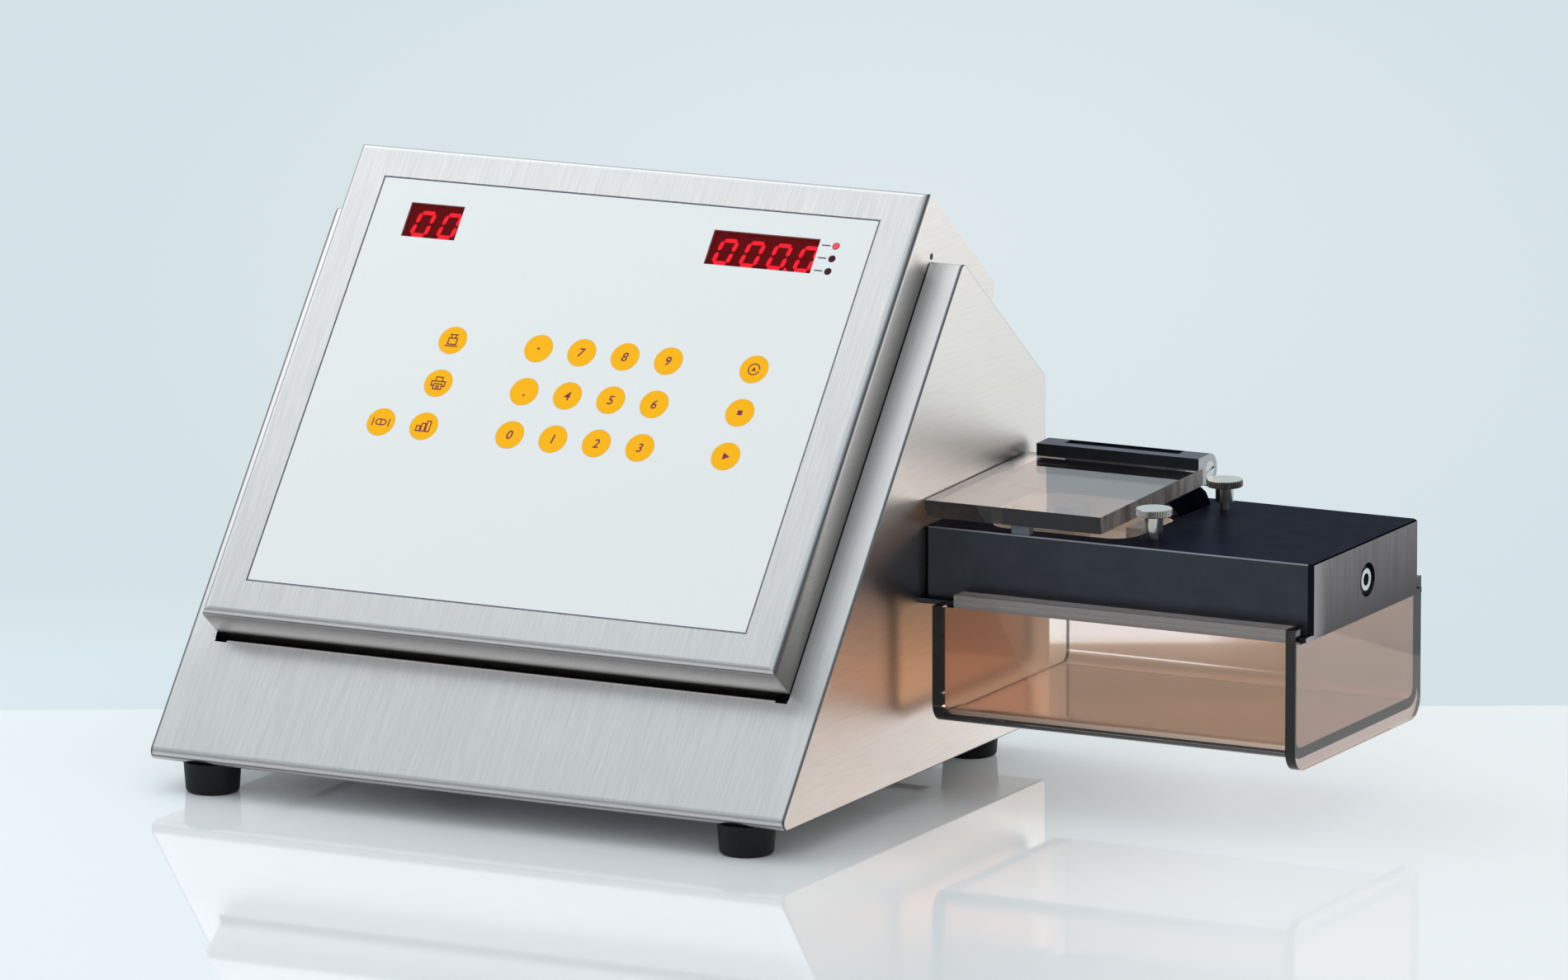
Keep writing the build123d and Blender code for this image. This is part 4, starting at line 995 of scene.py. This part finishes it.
def digit_mark(name, character, x, s):
    """The mesh of a digit, laid on the panel round (x, s)."""
    text = bpy.data.curves.new(name + "_text", "FONT")
    text.body = character
    text.align_x = "CENTER"
    text.shear = digit_mark_lean
    text.extrude = 0.5
    text.offset = digit_mark_weight
    holder = bpy.data.objects.new(name + "_text", text)
    bpy.context.collection.objects.link(holder)
    bpy.context.view_layer.update()
    shown = holder.evaluated_get(bpy.context.evaluated_depsgraph_get())
    data = bpy.data.meshes.new_from_object(shown)
    bpy.data.objects.remove(holder)
    data.name = name
    places = [vertex.co.copy() for vertex in data.vertices]
    lows = [min(place[axis] for place in places) for axis in range(2)]
    highs = [max(place[axis] for place in places) for axis in range(2)]
    scale = digit_mark_height / (highs[1] - lows[1])
    for vertex, place in zip(data.vertices, places):
        across, upward = [(place[axis] - (lows[axis] + highs[axis]) / 2) * scale
                          for axis in range(2)]
        vertex.co = panel_place(x + across, s + upward, mark_low if place.z < 0 else mark_high)
    return data


for name in key_names:
    x, s = key_centre(name)
    mark = name + "_mark"
    if name in signs:
        loops = [[(x + a, s + b) for a, b in loop] for loop in signs[name]]
        plate_from_loops(mark, loops, mark_low, mark_high, mark_ink, name)
    else:
        add_piece(mark, digit_mark(mark, name[-1], x, s), mark_ink, name)
print("marks on", len(key_names), "keys")

# %% [markdown]
# The tester stands on a white glossy table in front of a pale blue-grey paper. The table's
# far edge shows as a level line behind the object, so the floor is one plane in two tones.
# It mirrors the object softly, and to the right it carries painted light: a glow for seen
# rays that thins the shadow. Behind the edge, the paper keeps its own colour whatever light
# falls on it, with painted light that makes it paler round a point behind the object, and the
# world takes over beyond the plane in the same tone, so that no standing sheet hides the
# object from behind. Only clear pieces see one thing more: a painted glowing cool sheet on
# the far floor, which shines through the drawer.

# %% Floor and backdrop
edge_place = room_place(15.7, 292.0, 0.0)
floor_reach = 9.0
floor_white = linear(238, 243, 244)
paper_colour = linear(213, 226, 231)
# painted light: the paper is paler round a point behind the object
painted_paper_light = linear(223, 233, 237)
paper_roughness = 0.6
table_roughness = (0.03, 0.05)
smudge_scale = 3.0
pale_middle, pale_half_width = 0.06, 0.36
pale_depth, pale_half_depth = 1.25, 1.1
pale_reach = 1.3
far_span = (0.0, 0.3)
right_span = (0.06, 0.2)
right_most = 0.55
# painted light: a glowing cool sheet that only clear pieces see
cool_light = (0.42, 0.67, 1.0, 1.0)
cool_strength = 4.6
cool_edge = (0.140, 0.150)
cool_blur = (0.0865, 0.165)
cool_end = (0.30, 0.34)
cool_fall = (0.205, 0.25)
cool_least = 0.12


def painted_pale_share(finish, sideways, depth):
    """Painted light: the paper is paler round a point behind the object."""
    lateral = finish.math("DIVIDE", finish.math("SUBTRACT", sideways, pale_middle),
                          pale_half_width)
    inward = finish.math("DIVIDE", finish.math("SUBTRACT", depth, pale_depth), pale_half_depth)
    squares = finish.math("ADD", finish.product(lateral, lateral),
                          finish.product(inward, inward))
    return finish.band(finish.math("SQRT", squares), 0.0, pale_reach, 1.0, 0.0)


def cool_share(finish, sideways, depth):
    """Painted light: a glowing cool sheet, seen only by rays that come through a clear piece."""
    near_edge = finish.math("ADD", finish.band(depth, *cool_edge, 0.0, 0.5),
                            finish.band(depth, *cool_blur, 0.0, 0.5))
    return finish.product(near_edge, finish.band(sideways, *cool_fall, 1.0, cool_least),
                          finish.band(depth, *cool_end, 1.0, 0.0), finish.ray("Transmission"))


floor_finish = Finish("table_and_paper", floor_white, Specular_Tint=(0.95, 0.93, 1.0, 1.0))
floor_place = floor_finish.place()
sideways = floor_finish.along(floor_place, level_right)
depth = floor_finish.math("SUBTRACT", floor_finish.along(floor_place, level_back),
                          edge_place.dot(level_back))
beyond = floor_finish.above(depth, 0.0)
floor_finish.colour(floor_finish.mix(beyond, floor_white, paper_colour))
smudge = floor_finish.noise(floor_place, scale=smudge_scale)
floor_finish.roughness(floor_finish.math("ADD", floor_finish.spread(smudge, *table_roughness),
                                         floor_finish.product(beyond, paper_roughness)))

cool = cool_share(floor_finish, sideways, depth)
far_tone = floor_finish.mix(painted_pale_share(floor_finish, sideways, depth), paper_colour, painted_paper_light)
sheet_tone = floor_finish.mix(beyond, floor_white, far_tone)
glow_node = floor_finish.node("ShaderNodeEmission")
floor_finish.link(floor_finish.mix(cool, sheet_tone, cool_light), glow_node.inputs["Color"])
floor_finish.link(floor_finish.band(cool, 0.0, 1.0, 1.0, cool_strength),
                  glow_node.inputs["Strength"])
# painted light: to the right the floor glows for seen rays, which thins the shadow
own_light = floor_finish.math("MAXIMUM", floor_finish.band(depth, *far_span, 0.0, 1.0),
                              floor_finish.band(sideways, *right_span, 0.0, right_most))
glow_share = floor_finish.math("MAXIMUM", cool,
                               floor_finish.product(own_light, floor_finish.shown_ray()))
floor_finish.surface(glow_share, floor_finish.shader.outputs[0], glow_node.outputs[0])

corners = [(x * floor_reach, y * floor_reach, 0) for x, y in ((-1, -1), (1, -1), (1, 1), (-1, 1))]
floor_data = bpy.data.meshes.new("table_floor")
floor_data.from_pydata(corners, [], [(0, 1, 2, 3)])
floor_data.materials.append(floor_finish.material)
table_floor = bpy.data.objects.new("table_floor", floor_data)
bpy.context.collection.objects.link(table_floor)
print("floor edge through", edge_place)

# %% [markdown]
# The light is soft studio light. Large square lamps stand in for soft boxes: a main one high
# on the left, which the slope mirrors, a warm one behind on the right, and a broad one in
# front. The world gives the even fill. The camera, mirrors and clear pieces see the paper's
# colour instead, and in mirrors the room in front is darker, as a real one is.

# %% Lamps and world
fill_colour = (0.94, 0.97, 1.0, 1.0)
fill_strength = 0.92
room_shade = linear(128, 131, 134)
room_way = (0.2, -0.98, 0.0)
room_span = (0.45, 0.9)


def soft_box(name, place, aim, size, power, colour=(1, 1, 1)):
    lamp = bpy.data.lights.new(name, "AREA")
    lamp.shape = "SQUARE"
    lamp.size = size
    lamp.energy = power
    lamp.color = colour
    holder = bpy.data.objects.new(name, lamp)
    bpy.context.collection.objects.link(holder)
    holder.location = place
    holder.rotation_euler = (Vector(aim) - Vector(place)).to_track_quat("-Z", "Y").to_euler()
    holder.visible_camera = False


soft_box("main_soft_box", (-0.62, 0.08, 1.05), (-0.05, 0, 0.15), size=1.3, power=4.0)
soft_box("back_soft_box", (1.5, 2.3, 0.5), (0.15, 0, 0.1), size=1.0, power=6.0,
         colour=(1.0, 0.94, 0.88))
soft_box("front_soft_box", (0.4, -2.6, 1.9), (0, 0, 0.1), size=1.8, power=5.0)

world = bpy.data.worlds.new("studio")
bpy.context.scene.world = world
world.use_nodes = True
studio = Tree(world.node_tree)
look = studio.node("ShaderNodeTexCoord").outputs["Generated"]
room_share = studio.band(studio.along(look, room_way), *room_span, 0.0, 1.0)
room_tone = studio.mix(studio.product(room_share, studio.ray("Glossy")), paper_colour, room_shade)
seen_glow = studio.tree.nodes["Background"]
studio.link(room_tone, seen_glow.inputs["Color"])
fill_glow = studio.node("ShaderNodeBackground")
fill_glow.inputs["Color"].default_value = fill_colour
fill_glow.inputs["Strength"].default_value = fill_strength
studio.surface(studio.shown_ray(), fill_glow.outputs[0], seen_glow.outputs[0], "World Output")
bpy.context.scene.view_settings.view_transform = "Standard"

# %% [markdown]

# %% Finish
print("scene dressed")
